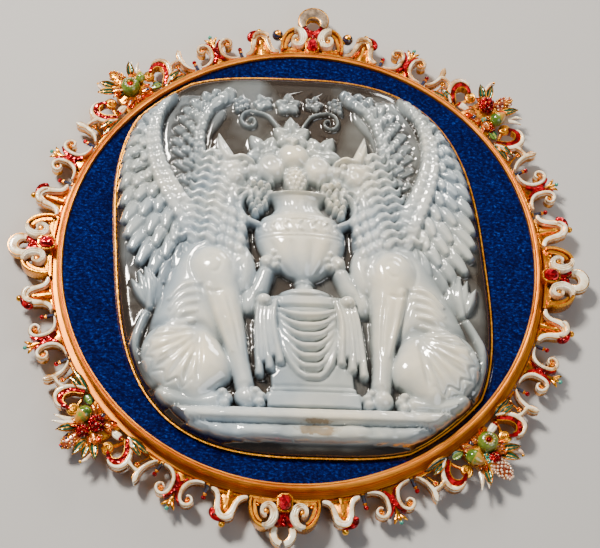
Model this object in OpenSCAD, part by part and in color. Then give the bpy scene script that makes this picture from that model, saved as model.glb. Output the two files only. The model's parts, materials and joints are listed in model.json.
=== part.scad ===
// An onyx cameo in a round gold frame, with a blue enamel plate and an enamelled border of scrolls and
// fruit. Millimetres. The back lies on z = 0 and is centred on the origin, +Z comes out of the front, and
// +Y points to the hanging loop.

/* [Stone] */
// Half width of the stone
stone_half_w = 47.9; // [45:0.1:48]
// Half height of the stone
stone_half_h = 54.2; // [51:0.1:55]
// Squareness of the stone's outline: 2 is an ellipse
stone_squareness = 3.1; // [2.4:0.1:3.4]
// Height of the stone's thin edge over the back
girdle_z = 7.5; // [7.2:0.1:8]
// Height of the dark ground that the relief stands on
ground_z = 9.8; // [9:0.1:10.5]
// Scale of the relief's height
relief_scale = 1; // [0.5:0.05:1.1]

/* [Frame] */
// Inner radius of the gold rim
rim_inner_r = 61.6; // [61.4:0.1:62]
// Outer radius of the gold rim
rim_outer_r = 63.3; // [63.1:0.1:63.5]
// Height of the rim over the back
rim_z = 8.4; // [8:0.1:9]
// Outer radius of the flange that carries the border
flange_r = 64.6; // [64.2:0.1:64.6]
// Height of the flange's upper face
flange_z = 4.2; // [3.8:0.1:4.2]
// Thickness of the gold back plate
back_thickness = 1; // [0.8:0.1:1.2]
// Height of the blue plate's upper face
enamel_z = 7.5; // [7.2:0.1:7.6]

/* [Border] */
// Underside of the enamelled straps
strap_low = 2.2; // [1.8:0.1:2.6]
// Front of the enamelled straps
strap_high = 5.6; // [5.2:0.1:6]
// Front of the tall volutes at the four sides
volute_high = 7.2; // [6.4:0.1:7.6]
// Table of the four rubies
ruby_top = 9; // [8.4:0.1:9.2]
// Radius of the hole in the hanging loop
bail_hole_r = 2; // [1.6:0.1:2.1]
// Radius of the holes in the three plain loops
loop_hole_r = 1.5; // [1.2:0.1:1.7]

/* [Hidden] */
sides = ["right", "top", "left", "bottom"];
corners = ["ne", "nw", "sw", "se"];

gap = 0.05;                    // clearance between two pieces
bezel_thickness = 0.5;
bezel_z = 7.9;
stone_lean = [-0.132, 0.036];  // how far the upright axis leans aside, and how far the level one rises
stone_shift = [0.3, -0.2];
stone_reach = 59.9;            // the corners are cut back to stay inside the rim
ledge_z = 5.9;                 // the blue plate rests here
seat_r = flange_r + gap;       // the border's pieces start here
lift_z = flange_z + gap;       // what lies over the flange starts here
bracket_turn = 12.1;           // degrees from the middle of a side
scroll_turn = 22.8;
crest_turn = 35;
pin_turns = [17.1, 28.45];
bail_y = 74.8;                 // centre of the hanging loop's hole
bail_arch_r = 4.1;
loop_y = 72.4;                 // centre of a plain loop's hole
loop_arch_r = 3.1;
ruby_y = 66.2;
ruby_half = [1.5, 1.9];
ruby_cut = 0.8;
ruby_seat_z = 6;
curve_steps = 4;
round_fn = 48;
small_fn = 24;

gold = "goldenrod";
white = "ivory";
red = "crimson";
green = "darkgreen";
blue = "midnightblue";

function clamp(v, low, high) = max(low, min(high, v));
function reversed(list) = [for (i = [len(list) - 1:-1:0]) list[i]];
function arc(r, from, to, n = 12) = [
    for (i = [0:n]) let (a = from + (to - from) * i / n) [r * sin(a), r * cos(a)]
];

// A smooth curve through rows of numbers.
function catmull(a, b, c, d, t) =
    0.5 * (2 * b + (c - a) * t + (2 * a - 5 * b + 4 * c - d) * t * t + (3 * b - a - 3 * c + d) * t * t * t);
function smooth(rows) = let (m = len(rows) - 1) [
    for (i = [0:m - 1], k = [0:curve_steps - 1])
        catmull(i == 0 ? 2 * rows[0] - rows[1] : rows[i - 1], rows[i], rows[i + 1],
            i == m - 1 ? 2 * rows[m] - rows[m - 1] : rows[i + 2], k / curve_steps),
    rows[m]
];
function across(c, i) = let (
    a = c[max(i - 1, 0)],
    b = c[min(i + 1, len(c) - 1)],
    d = [b.x - a.x, b.y - a.y]
) [-d.y, d.x] / norm(d);
function strap_side(c, s) = [for (i = [0:len(c) - 1]) [c[i].x, c[i].y] + s * c[i].z * across(c, i)];

// A strap on edge. Its rows are tangential place, radial place and half thickness.
module strap(rows, low = strap_low, high = strap_high) {
    c = smooth(rows);
    plate(concat(strap_side(c, 1), reversed(strap_side(c, -1))), low, high);
}
module plate(outline, low, high)
    translate([0, 0, low]) linear_extrude(high - low) polygon(outline);
module ball(x, y, z, r) translate([x, y, z]) sphere(r, $fn = small_fn);
module both_sides() {
    children();
    mirror([1, 0, 0]) children();
}
// Border pieces are drawn with +Y outwards and +X clockwise, then turned to their place.
module at(angle) rotate([0, 0, angle - 90]) children();

// The stone's outline: a squared ellipse that leans, cut back at its far corners.
function stone_lean_point(p) = [
    p.x + stone_lean.x * p.y + stone_shift.x,
    p.y + stone_lean.y * p.x + stone_shift.y
];
function stone_edge(direction, grow = 0) = let (
    p = [direction.x * (stone_half_w + grow), direction.y * (stone_half_h + grow)],
    n = stone_squareness,
    k = pow(pow(abs(direction.x), n) + pow(abs(direction.y), n), 1 / n),
    q = p / k,
    r = norm(stone_lean_point(q))
) q * min(1, (stone_reach + grow) / r);
module stone_outline(grow = 0)
    polygon([for (a = [0:3.75:359]) stone_lean_point(stone_edge([cos(a), sin(a)], grow))]);

// Back plate, rim, flange and bezel, soldered into one.
module frame() color(gold) {
    wall_r = rim_outer_r - 0.6;       // the wall behind the rim's moulding
    case_r = wall_r + 0.2;
    flange_low = flange_z - 1.2;
    ledge_r = rim_inner_r - 0.6;
    groove_z = rim_z - 0.35;
    rotate_extrude($fn = 180) polygon([
        [0, 0], [case_r, 0], [case_r, flange_low], [flange_r, flange_low], [flange_r, flange_z],
        [wall_r, flange_z], [wall_r, rim_z - 2.1], [rim_outer_r, rim_z - 1.8],
        [rim_outer_r, rim_z - 1.2], [rim_outer_r - 0.3, rim_z - 0.9], [rim_outer_r - 0.1, rim_z - 0.5],
        [rim_outer_r - 0.4, rim_z], [rim_inner_r + 0.9, rim_z], [rim_inner_r + 0.7, groove_z],
        [rim_inner_r + 0.5, rim_z], [rim_inner_r + 0.2, rim_z], [rim_inner_r, rim_z - 0.2],
        [rim_inner_r, ledge_z], [ledge_r, ledge_z], [ledge_r, back_thickness], [0, back_thickness]
    ]);
    bezel_low = back_thickness / 2;
    translate([0, 0, bezel_low]) linear_extrude(bezel_z - bezel_low) difference() {
        stone_outline(gap + bezel_thickness);
        stone_outline(gap);
    }
}

module enamel_plate() color("mediumblue")
    translate([0, 0, ledge_z + gap]) linear_extrude(enamel_z - ledge_z - gap) difference() {
        circle(rim_inner_r - gap, $fn = 180);
        stone_outline(2 * gap + bezel_thickness);
    }

// Relief of the left half, mirrored to the right. Each form is a list of rows: place across, place up,
// half width and height over the ground. The forms are joined by taking the highest.
relief_forms = [
    // two ledges at the foot
    [[0, -49, 2.4, 3.4], [31, -49, 2.2, 3.4]],
    [[0, -45, 2.2, 5.2], [37, -45, 2.2, 5.2]],
    // beast: near wing, its feathers, far wing and its feathers
    [[23.5, -1, 4.4, 5.2], [28, 8, 4, 5], [33, 17, 3.3, 4.8], [36.2, 26, 2.6, 4.5], [36.6, 34.5, 2, 4.2],
        [34.2, 41.5, 1.4, 3.9]],
    [[27, -1, 3, 3.6], [38, -3, 2.4, 3.2]],
    [[30, 6, 3.2, 3.7], [42, 4, 2.2, 3.2]],
    [[33, 13, 3.2, 3.7], [43.5, 13, 2.2, 3.1]],
    [[35, 21, 3, 3.6], [44, 22, 2.2, 3]],
    [[36, 28, 2.6, 3.5], [43, 31, 2.2, 3]],
    [[36, 35, 2.2, 3.3], [39.5, 39.5, 2, 2.8]],
    [[35, 41, 1.8, 3.2], [34, 46, 1.6, 2.6]],
    [[20, 9, 2.2, 2.4], [24.4, 26, 1.7, 2.4], [21, 42.5, 1.2, 2.2]],
    [[24, 18, 3, 2], [28.5, 27, 3, 1.8], [28, 36, 2.4, 1.7]],
    // beast: trunk and neck, thigh, hind paw, far and near foreleg, paws, tail
    [[32, -30, 10, 4.6], [29.6, -19, 9.2, 4.8], [24.4, -8, 9.4, 5.4], [20.8, 1.5, 7.6, 5.2],
        [19.4, 9.5, 6, 4.9], [17.8, 16.5, 4.9, 4.8], [15.4, 21.8, 4.3, 5]],
    [[31.6, -29.5, 9.6, 6.2], [27, -34, 6.4, 5.8]],
    [[36, -40.4, 2.8, 4.2], [24, -41, 2.8, 4.4]],
    [[17, -8, 4.2, 3.8], [14.6, -14.6, 3.4, 3.8], [11.6, -10.8, 2.7, 4.2], [8.8, -4, 2.6, 5.6]],
    [[22.5, -6, 6.2, 6.6], [21.2, -14, 4.9, 6.1], [19.3, -22.5, 3.5, 5.4], [17.6, -37.6, 2.6, 4.9],
        [15.4, -40.4, 2.9, 4.9]],
    [[38, -37.5, 2.4, 3], [43.2, -34.5, 1.9, 2.9], [45, -28, 1.6, 2.8], [42.5, -21.5, 1.4, 2.8],
        [40.5, -14, 1.8, 2.7]],
    // beast: mane, skull, beak, ear
    [[20, 25, 2.4, 4.4], [24.5, 15, 2.6, 4], [27, 6, 2.6, 3.8]],
    [[16, 23, 5, 5.6], [13.5, 23.4, 4.6, 5.6]],
    [[12, 22.8, 3, 5.4], [9.2, 22.6, 2.2, 5], [6.8, 20.8, 1.3, 4.4]],
    [[17.2, 26.6, 1.9, 5.4], [19.2, 33, 0.9, 4.4]],
    // pedestal with its cloth, and its cap and foot
    [[0, -20, 10.6, 3.9], [0, -33, 10.4, 3.4]],
    [[0, -41, 2.6, 3.8], [9.4, -41, 2.4, 3.6]],
    [[0, -14.5, 1.8, 4.6], [10.8, -14.5, 1.8, 4.4]],
    [[11.4, -14.6, 1.4, 5], [12.2, -22, 1.5, 4.8], [12, -33, 1.6, 4.4]],
    [[0, -21, 3, 5], [9.6, -15.6, 2, 4.4]],
    [[0, -30, 2.4, 4.6], [9.4, -17, 1.8, 4.3]],
    // urn, its lip, its handles and the fruit
    [[0, -11.6, 5.6, 3.6], [0, -9.6, 2.4, 3], [0, -5, 6, 4.6], [0, 0, 10.2, 6], [0, 4, 11.4, 6.5],
        [0, 9, 8, 5.2], [0, 13, 6.2, 4.6]],
    [[0, 16, 1.3, 5.4], [8.4, 16, 1.2, 5]],
    [[10.6, 7.2, 1.2, 4.2], [14.2, 9.4, 1.2, 4.3], [15.2, 13, 1.1, 4.4], [12, 16.8, 1.2, 4.8]],
    [[0, 22, 4, 5.4], [5.8, 24, 4.4, 5.4]],
    [[0, 27.6, 4.5, 5.6], [0, 33, 1.6, 4.2]],
    [[9, 18, 3.6, 6], [10.4, 9.5, 1.4, 5.8]],
    [[9.5, 21, 3.2, 3.2], [16.2, 21.6, 1.4, 2.6]],
    [[4, 29, 3.6, 3.2], [10.4, 34.6, 1.6, 2.6]],
    [[0, 33.5, 3.4, 3.2], [0, 39, 1.8, 2.4]],
    [[0, 43.4, 2.6, 2.2], [6.6, 43.6, 2, 1.9]]
];
function form_box(form) = [
    min([for (r = form) r.x - r[2]]), max([for (r = form) r.x + r[2]]),
    min([for (r = form) r.y - r[2]]), max([for (r = form) r.y + r[2]])
];
function row_height(p, a, b) = let (
    d = [b.x - a.x, b.y - a.y],
    q = p - [a.x, a.y],
    s = clamp((q * d) / (d * d), 0, 1),
    t = norm(q - s * d) / (a[2] + s * (b[2] - a[2]))
) t < 1 ? (a[3] + s * (b[3] - a[3])) * (1 - t * t * t) : 0;
function relief_height(p, boxes) = let (q = [abs(p.x), p.y]) relief_scale * max([
    0,
    for (k = [0:len(boxes) - 1])
        if (q.x > boxes[k][0] && q.x < boxes[k][1] && q.y > boxes[k][2] && q.y < boxes[k][3])
            for (i = [0:len(relief_forms[k]) - 2]) row_height(q, relief_forms[k][i], relief_forms[k][i + 1])
]);

// The stone is one mesh. A square grid is stretched to its outline, with two narrow rings of cells on
// its rounded edge.
module cameo() {
    cells_x = 62;
    cells_y = 70;
    edge_share = 0.065;      // share of the stone's half size that the rounded edge takes
    inner_share = 1 - edge_share;
    middle_share = 1 - 0.4 * edge_share;
    base_z = back_thickness + gap;
    function level(i, n) = let (h = n / 2, k = abs(i - h), side = i < h ? -1 : 1)
        side * (k == h ? 1 : k == h - 1 ? middle_share : inner_share * k / (h - 2));
    function edge_rise(t) = girdle_z + (ground_z - girdle_z) * sqrt(1 - pow(1 - clamp(t, 0, 1), 2));
    function top_point(u, v, boxes) = let (
        reach = max(abs(u), abs(v)),
        p = reach == 0 ? [0, 0] : reach * stone_edge([u, v] / reach),
        q = stone_lean_point(p)
    ) [q.x, q.y, edge_rise((1 - reach) / edge_share) + relief_height(p, boxes)];
    boxes = [for (form = relief_forms) form_box(form)];
    top = [for (j = [0:cells_y], i = [0:cells_x]) top_point(level(i, cells_x), level(j, cells_y), boxes)];
    function index(i, j) = j * (cells_x + 1) + i;
    ring = concat(
        [for (i = [0:cells_x - 1]) index(i, 0)],
        [for (j = [0:cells_y - 1]) index(cells_x, j)],
        [for (i = [cells_x:-1:1]) index(i, cells_y)],
        [for (j = [cells_y:-1:1]) index(0, j)]
    );
    n = len(ring);
    first = len(top);
    color("gainsboro") polyhedron(
        points = concat(top, [for (k = ring) [top[k].x, top[k].y, base_z]]),
        faces = concat(
            [for (j = [0:cells_y - 1], i = [0:cells_x - 1])
                each [[index(i, j), index(i, j + 1), index(i + 1, j + 1)],
                    [index(i, j), index(i + 1, j + 1), index(i + 1, j)]]],
            [for (k = [0:n - 1]) let (m = (k + 1) % n)
                each [[ring[k], ring[m], first + m], [ring[k], first + m, first + k]]],
            [[for (k = [0:n - 1]) first + k]]
        )
    );
}

// A cartouche fills the middle of a side: gold volutes with white curls, a ruby's collet, and a loop.
function octagon(half, cut) = [
    [half.x - cut, -half.y], [half.x, -half.y + cut], [half.x, half.y - cut], [half.x - cut, half.y],
    [-half.x + cut, half.y], [-half.x, half.y - cut], [-half.x, -half.y + cut], [-half.x + cut, -half.y]
];
module cartouche(hole_y, hole_r, arch_r, split = 0) difference() {
    foot_turn = 7.7;
    foot_depth = 0.9;
    step = 0.4;              // the layers of the front stand this far over each other
    arch_y = hole_y + arch_r * step;
    arch_high = strap_high - step;
    collet = [0.5, 0.5];
    collet_high = ruby_seat_z + 1.3;
    union() {
        color(gold) plate(
            concat(arc(seat_r, -foot_turn, foot_turn), arc(seat_r + foot_depth, foot_turn, -foot_turn)),
            strap_low, arch_high
        );
        color(gold) both_sides() strap([
            [8.2, 65, 0.45], [8.2, 67.4, 0.45], [7.6, 69.7, 0.45], [6.2, 71.4, 0.45], [4.5, 72, 0.5]
        ], strap_low, volute_high - step);
        color(white) both_sides() strap([
            [5.2, 71.7, 0.5], [4.1, 71.7, 0.7], [2.9, 70.9, 0.95], [2.3, 69.2, 1.05], [2.7, 67.6, 1],
            [3.9, 66.8, 0.85], [5.1, 67.3, 0.65], [5.5, 68.5, 0.5], [4.9, 69.4, 0.4]
        ], strap_low + step, volute_high);
        color(white) plate(concat(
            [[-4.3, 71.6], [-4.5, 72.6], [-arch_r, arch_y - 0.8]],
            [for (a = [-100:20:100]) [arch_r * sin(a), arch_y + arch_r * cos(a)]],
            [[arch_r, arch_y - 0.8], [4.5, 72.6], [4.3, 71.6], [0, 70.4]]
        ), strap_low + step, arch_high);
        color(red) plate(
            [[-2.4, 71.8], [0, 69.6], [2.4, 71.8], [2, 67], [-2, 67]], strap_low + step / 2, strap_high
        );
        color(gold) translate([0, ruby_y, lift_z])
            linear_extrude(collet_high - lift_z) polygon(octagon(ruby_half + collet, 1));
    }
    translate([0, ruby_y, ruby_seat_z])
        linear_extrude(ruby_top) polygon(octagon(ruby_half + [gap, gap], ruby_cut));
    translate([0, hole_y, 0]) cylinder(h = volute_high, r = hole_r, $fn = round_fn);
    if (split > 0) translate([-split, arch_y, 0]) cube([2.6 * split, arch_r + 1, volute_high]);
}
module cartouche_top() {
    bead_r = 1.65;
    cartouche(bail_y, bail_hole_r, bail_arch_r);
    // two dark beads beside the volutes, on short gold arms
    both_sides() {
        color(gold) strap([[8.2, 69, 0.5], [9.6, 70.6, 0.45]], strap_low + 1, strap_high - 1);
        color(blue) ball(9.9, 71, 4, bead_r);
    }
}
module ruby() color(red) translate([0, ruby_y, ruby_seat_z + gap]) {
    girdle = 1.4;
    table = 0.58;            // share of the stone's width that the table takes
    linear_extrude(girdle) polygon(octagon(ruby_half, ruby_cut));
    translate([0, 0, girdle]) linear_extrude(ruby_top - ruby_seat_z - gap - girdle, scale = table)
        polygon(octagon(ruby_half, ruby_cut));
}

// A bracket: two curved white legs under a cup, a gold tongue between them, a red curl and a gold bead.
module bracket() {
    leg = [
        [0, seat_r], [4.4, seat_r - 0.1], [4.4, 66], [3.7, 66.3], [3.1, 66.1], [2.7, 67], [2.4, 68.8],
        [2.1, 70.4], [1.6, 71.5], [0, 72.1]
    ];
    slot = [[0.75, 65.9], [1.25, 65.9], [1.25, 68.5], [0.75, 68.9]];
    cup_high = strap_high + 0.5;
    color(white) both_sides() difference() {
        plate(leg, strap_low, strap_high);
        plate(slot, 0, cup_high);
    }
    color(white) translate([0, 70.5, strap_low])
        cylinder(h = cup_high - strap_low, r = 1.7, $fn = round_fn);
    color(red) strap([[-0.6, 71.8, 0.5], [1, 72.1, 0.7], [2.3, 71.5, 0.7], [2.8, 70.6, 0.6]]);
    color(red) ball(2.7, 70.8, 4.6, 0.9);
    color(gold) ball(-0.2, 73, 3.9, 0.8);
}

// A double scroll: two straps back to back that roll up, a red web between them, and a gold calyx on top.
module scroll() {
    inset = 0.3;             // the web and the calyx stand back from the straps
    color(white) both_sides() strap([
        [5.5, 64.85, 0.4], [3.4, 65.3, 0.45], [1.9, 66.7, 0.5], [1.4, 68.4, 0.5], [1.5, 70.2, 0.5],
        [2.3, 71.6, 0.5], [3.6, 71.9, 0.5], [4.6, 71, 0.5], [4.5, 69.8, 0.45], [3.6, 69.4, 0.4]
    ]);
    color(gold) both_sides() translate([3.4, 70.3, strap_low + inset])
        cylinder(h = strap_high - strap_low - 2 * inset, r = 0.8, $fn = round_fn);
    color(red) plate([
        [-1.9, 66.2], [-1, 65.8], [0, 67.4], [1, 65.8], [1.9, 66.2], [1, 68.4], [1.2, 70.2], [2.3, 72],
        [1.4, 72.3], [0, 70.8], [-1.4, 72.3], [-2.3, 72], [-1.2, 70.2], [-1, 68.4]
    ], strap_low + inset, strap_high - inset);
    color(gold) plate([
        [-0.4, 70.6], [0.4, 70.6], [0.5, 72.4], [1.8, 74.2], [0.7, 73.6], [0, 74.4], [-0.7, 73.6],
        [-1.8, 74.2], [-0.5, 72.4]
    ], strap_low + 3 * inset, strap_high - 3 * inset);
    color(green) ball(0, 74.3, 3.9, 0.6);
}

// A crest: a T-shaped strap, a bridge to a big C lined with red, a gold snail, and two leaves at its foot.
module crest() {
    snail = [5.4, 70, 4.2];
    snail_r = 1.6;
    leaf_thickness = 0.9;
    color(white) strap([
        [-6.5, 65.05, 0.4], [-5.3, 66.6, 0.45], [-4.6, 68.6, 0.5], [-4.5, 70.3, 0.6], [-4.9, 71.7, 0.9],
        [-5.3, 72.8, 0.5]
    ]);
    color(white) plate([
        [-4.6, 69.6], [-3.6, 69.7], [-2.6, 69.9], [-1.6, 69.4], [-0.6, 68.6], [-0.6, 71], [-4.6, 70.9]
    ], strap_low, strap_high);
    color(white) strap([
        [2.6, 64.95, 0.35], [1, 66.3, 0.45], [-0.4, 68.2, 0.55], [-0.8, 70.2, 0.6], [-0.1, 72, 0.6],
        [1.4, 73, 0.5], [3, 72.8, 0.4]
    ]);
    color(red) strap([
        [2.9, 65.5, 0.35], [1.7, 66.8, 0.4], [0.4, 68.5, 0.4], [0.1, 70.2, 0.4], [0.7, 71.6, 0.4],
        [2, 72.4, 0.4], [3.4, 72.1, 0.4], [4.4, 71.2, 0.5]
    ], strap_low + 0.1, strap_high - 0.3);
    color(gold) translate(snail) {
        sphere(snail_r, $fn = small_fn);
        rotate_extrude($fn = round_fn) translate([snail_r * 0.8, 0]) circle(snail_r * 0.28, $fn = small_fn);
    }
    color(green) for (leaf = [[3.4, 64.95, 179, 7.4], [2.2, 65.6, 164, 5.2]])
        translate([leaf[0], leaf[1], lift_z]) rotate(leaf[2])
            linear_extrude(leaf_thickness) leaf_outline(leaf[3], 0.9);
}
module leaf_outline(length, half)
    polygon([
        [0, 0.35], [length * 0.3, half], [length * 0.65, half * 0.8], [length, 0],
        [length * 0.65, -half * 0.8], [length * 0.3, -half], [0, -0.35]
    ]);

// A dark enamel tube on a short gold peg, with a red bead.
module pin() translate([0, seat_r, (strap_low + strap_high) / 2]) rotate([-90, 0, 0]) {
    tube = 2.7;
    peg = 3.6;
    bead_r = 0.65;
    color(blue) cylinder(h = tube, r = 0.5, $fn = small_fn);
    color(gold) cylinder(h = peg, r = 0.3, $fn = small_fn);
    color(red) translate([0, 0, peg + 0.1]) sphere(bead_r, $fn = small_fn);
}

// Fruit, flowers and leaves of the four bouquets. Each row is a kind, its place across, out and up, its
// size and its turn. The first list is the same in every corner.
bouquet_surround = [
    ["flame", 1.6, 70.6, 5.1, 3.4, 28], ["flame", -1.6, 70.6, 5.1, 3.4, 152],
    ["flame", 1.6, 67, 5.1, 3.2, -22], ["flame", -1.4, 66.9, 5.1, 3.2, 202], ["flame", 0.2, 66.8, 5, 2, -95],
    ["leaf", 2.6, 72.4, 4.2, 5.2, 60], ["leaf", -2.6, 72.4, 4.2, 5.2, 120],
    ["leaf", -3.2, 71.6, 4.4, 5.4, 146], ["bud", -7.6, 65.9, 4.9, 3.4, 12]
];
bouquet_items = [
    // north east
    [["berries", -1.6, 71.2, 5.8, 2.3, 0], ["pear", 3.6, 69.8, 6.2, 1.9, 85],
        ["grapes", 0.6, 73.8, 4.1, 2.1, 86], ["petal", -3.6, 72.4, 4.2, 6, 108],
        ["petal", 3.9, 71.9, 4.2, 5.6, 50], ["petal", 4.2, 71.2, 4.2, 5.6, 38],
        ["berries", 5, 66.6, 5, 1.1, 0], ["bead", -1.2, 66, 5.2, 0.9, 0], ["pod", 7.6, 65.5, 5.1, 3.4, 170]],
    // north west
    [["apple", 0.3, 69.9, 5.8, 2.7, 0], ["pear", 4.2, 70.4, 6, 1.4, 60], ["grapes", -0.2, 73, 4.1, 2.2, 92],
        ["petal", 3.6, 72.2, 4.2, 5.2, 62], ["petal", 4.1, 71.4, 4.2, 5.2, 50],
        ["petal", -3, 72.6, 4.2, 5, 106], ["bead", 3.2, 66.4, 5.2, 0.9, 0], ["bead", -2.6, 66.3, 5.2, 0.8, 0],
        ["pod", 7.6, 65.5, 5.1, 3.4, 170]],
    // south west
    [["pear", 3.6, 68.9, 6.2, 2, 95], ["berries", -0.4, 68.2, 5.7, 2.3, 0], ["berries", 0.5, 72, 5.2, 1.8, 0],
        ["grapes", 0.8, 73.8, 4, 2.1, 86], ["petal", 3.8, 71.4, 4.2, 6.2, 48],
        ["petal", 4.2, 70.9, 4.2, 6, 38], ["leaf", -1.8, 73, 4.2, 5, 100], ["bead", 0.2, 65.7, 5.2, 0.9, 0],
        ["pod", 7.6, 65.5, 5.1, 3.4, 170]],
    // south east
    [["apple", -2.1, 68.3, 5.8, 2.7, 0], ["pear", 3.5, 68.8, 6.2, 2, 105],
        ["grapes", -0.4, 73.6, 4.1, 2.3, 90], ["berries", -0.9, 72.1, 5.2, 1.6, 0],
        ["petal", 3.8, 71.2, 4.2, 6.2, 54], ["petal", 3.4, 71.9, 4.2, 5.6, 66],
        ["petal", -3.6, 72, 4.2, 5.6, 130], ["bead", 1.2, 65.8, 5.2, 0.8, 0],
        ["pod", 7.6, 65.5, 5.1, 3.4, 170]]
];
module berries(size) {
    ball(0, 0, 0, size * 0.78);
    for (a = [0:60:300]) ball(size * 0.62 * cos(a), size * 0.62 * sin(a), 0.2 * size, size * 0.4);
    ball(0, 0, size * 0.62, size * 0.42);
}
module grapes(size) {
    plate([[-0.9 * size, -0.5 * size], [0.9 * size, -0.5 * size], [0.5 * size, 1.7 * size], [0, 2.2 * size],
        [-0.5 * size, 1.7 * size]], -0.7, 0.3);
    for (row = [0:3], i = [0:3 - row])
        ball((i - (3 - row) / 2) * size * 0.52, (row * 0.62 - 0.3) * size, 0.35, size * 0.36);
}
module item(kind, size) {
    if (kind == "apple") color("olivedrab") difference() {
        ball(0, 0, 0, size);
        ball(0.3 * size, 0.35 * size, 1.2 * size, 0.45 * size);
    }
    if (kind == "pear") color("yellowgreen") {
        ball(0, 0, 0, size);
        ball(size * 0.95, 0, 0, size * 0.62);
    }
    if (kind == "berries") color(red) berries(size);
    if (kind == "grapes") color("tan") rotate(-90) grapes(size);
    if (kind == "petal") color(white)
        strap([[0, 0, 0.6], [size * 0.5, 0.4, 0.55], [size, 0, 0.15]], -0.6, 0.6);
    if (kind == "leaf") color(green) linear_extrude(0.8) leaf_outline(size, 1);
    if (kind == "flame") color("chocolate")
        strap([[0, 0, 0.35], [size * 0.45, 0.2, 0.65], [size, 0, 0.12]], -0.5, 0.5);
    if (kind == "bud") color(white) strap([[0, 0, 0.8], [size * 0.5, 0, 0.8], [size, 0, 0.3]], -0.7, 0.7);
    if (kind == "pod") color("yellowgreen")
        strap([[0, 0, 0.4], [size * 0.5, 0, 0.8], [size, 0, 0.4]], -0.7, 0.7);
    if (kind == "bead") color(blue) ball(0, 0, 0, size);
}
module bouquet(items) {
    // a gold plate holds the fruit together
    color(gold) plate(
        concat(arc(seat_r, -4.4, 4.4), [[4.2, 70.6], [2.8, 73.6], [-2.8, 73.6], [-4.2, 70.6]]),
        strap_low, strap_high - 0.8
    );
    for (row = concat(bouquet_surround, items))
        translate([row[1], row[2], row[3]]) rotate(row[5]) item(row[0], row[4]);
}

// Pieces beside a side's middle come in mirrored pairs. Number 1 is next to the right side, and the rest
// run on counter-clockwise.
function side_of(i) = 90 * floor((i - 1) / 2);
module beside(i, turn) {
    if (i % 2 == 1) at(side_of(i) + turn) mirror([1, 0, 0]) children();
    else at(side_of(i) - turn) children();
}

frame();
enamel_plate();
cameo();
at(0) cartouche(loop_y, loop_hole_r, loop_arch_r);  // cartouche_right
at(90) cartouche_top();
at(180) cartouche(loop_y, loop_hole_r, loop_arch_r);  // cartouche_left
at(270) cartouche(loop_y, loop_hole_r, loop_arch_r, split = 0.3);  // cartouche_bottom
for (k = [0:3]) at(90 * k) ruby();
for (k = [0:3]) at(45 + 90 * k) bouquet(bouquet_items[k]);
for (i = [1:8]) beside(i, bracket_turn) bracket();
for (i = [1:8]) beside(i, scroll_turn) scroll();
for (i = [1:8]) beside(i, crest_turn) crest();
for (i = [1:16]) beside(ceil(i / 2), pin_turns[(i - 1) % 2]) pin();
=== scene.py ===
import json
import math
import bmesh
import bpy
import numpy as np
from mathutils import Matrix, Vector

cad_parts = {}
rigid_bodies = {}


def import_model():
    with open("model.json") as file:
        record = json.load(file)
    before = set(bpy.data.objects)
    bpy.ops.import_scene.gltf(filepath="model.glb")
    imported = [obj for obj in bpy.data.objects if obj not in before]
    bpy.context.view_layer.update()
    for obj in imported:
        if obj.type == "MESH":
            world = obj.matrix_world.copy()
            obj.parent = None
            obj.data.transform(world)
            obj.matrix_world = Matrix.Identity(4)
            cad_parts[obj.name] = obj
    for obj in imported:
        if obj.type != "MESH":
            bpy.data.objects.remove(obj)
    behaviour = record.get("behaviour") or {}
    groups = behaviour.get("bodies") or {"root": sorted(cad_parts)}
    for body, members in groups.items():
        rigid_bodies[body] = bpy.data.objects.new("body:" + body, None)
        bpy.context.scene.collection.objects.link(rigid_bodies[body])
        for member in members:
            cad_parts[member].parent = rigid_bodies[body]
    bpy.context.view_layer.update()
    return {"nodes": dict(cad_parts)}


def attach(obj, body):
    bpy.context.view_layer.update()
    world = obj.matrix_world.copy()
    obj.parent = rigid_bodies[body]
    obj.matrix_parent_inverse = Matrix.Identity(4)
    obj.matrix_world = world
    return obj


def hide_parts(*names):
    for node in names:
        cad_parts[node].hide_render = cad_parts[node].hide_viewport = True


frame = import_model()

mm = 0.001
print("frame loaded with", len(frame["nodes"]), "nodes")

# Camera at the photograph's angle, lights and floor

view = {"azimuth": -1.73, "elevation": 64.7, "roll": 5.3, "distance": 420, "focal": 1580.5,
        "right": 0.39, "up": -1.0, "photoWidth": 600}


def linked(name, data):
    holder = bpy.data.objects.new(name, data)
    bpy.context.scene.collection.objects.link(holder)
    return holder


def placeCamera():
    azimuth, elevation, roll = (math.radians(view[k]) for k in ("azimuth", "elevation", "roll"))
    back = Vector((math.sin(azimuth) * math.cos(elevation), -math.cos(azimuth) * math.cos(elevation),
                   math.sin(elevation)))
    level = Vector((math.cos(azimuth), math.sin(azimuth), 0))
    upright = back.cross(level)
    right = math.cos(roll) * level + math.sin(roll) * upright
    up = -math.sin(roll) * level + math.cos(roll) * upright
    place = right * view["right"] + up * view["up"] + back * view["distance"]
    lens = bpy.data.cameras.new("camera")
    lens.sensor_width = 36
    lens.lens = view["focal"] / view["photoWidth"] * lens.sensor_width
    lens.clip_start = 0.01
    camera = linked("camera", lens)
    camera.matrix_world = Matrix((
        (right.x, up.x, back.x, place.x * mm), (right.y, up.y, back.y, place.y * mm),
        (right.z, up.z, back.z, place.z * mm), (0, 0, 0, 1)))
    bpy.context.scene.camera = camera


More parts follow.
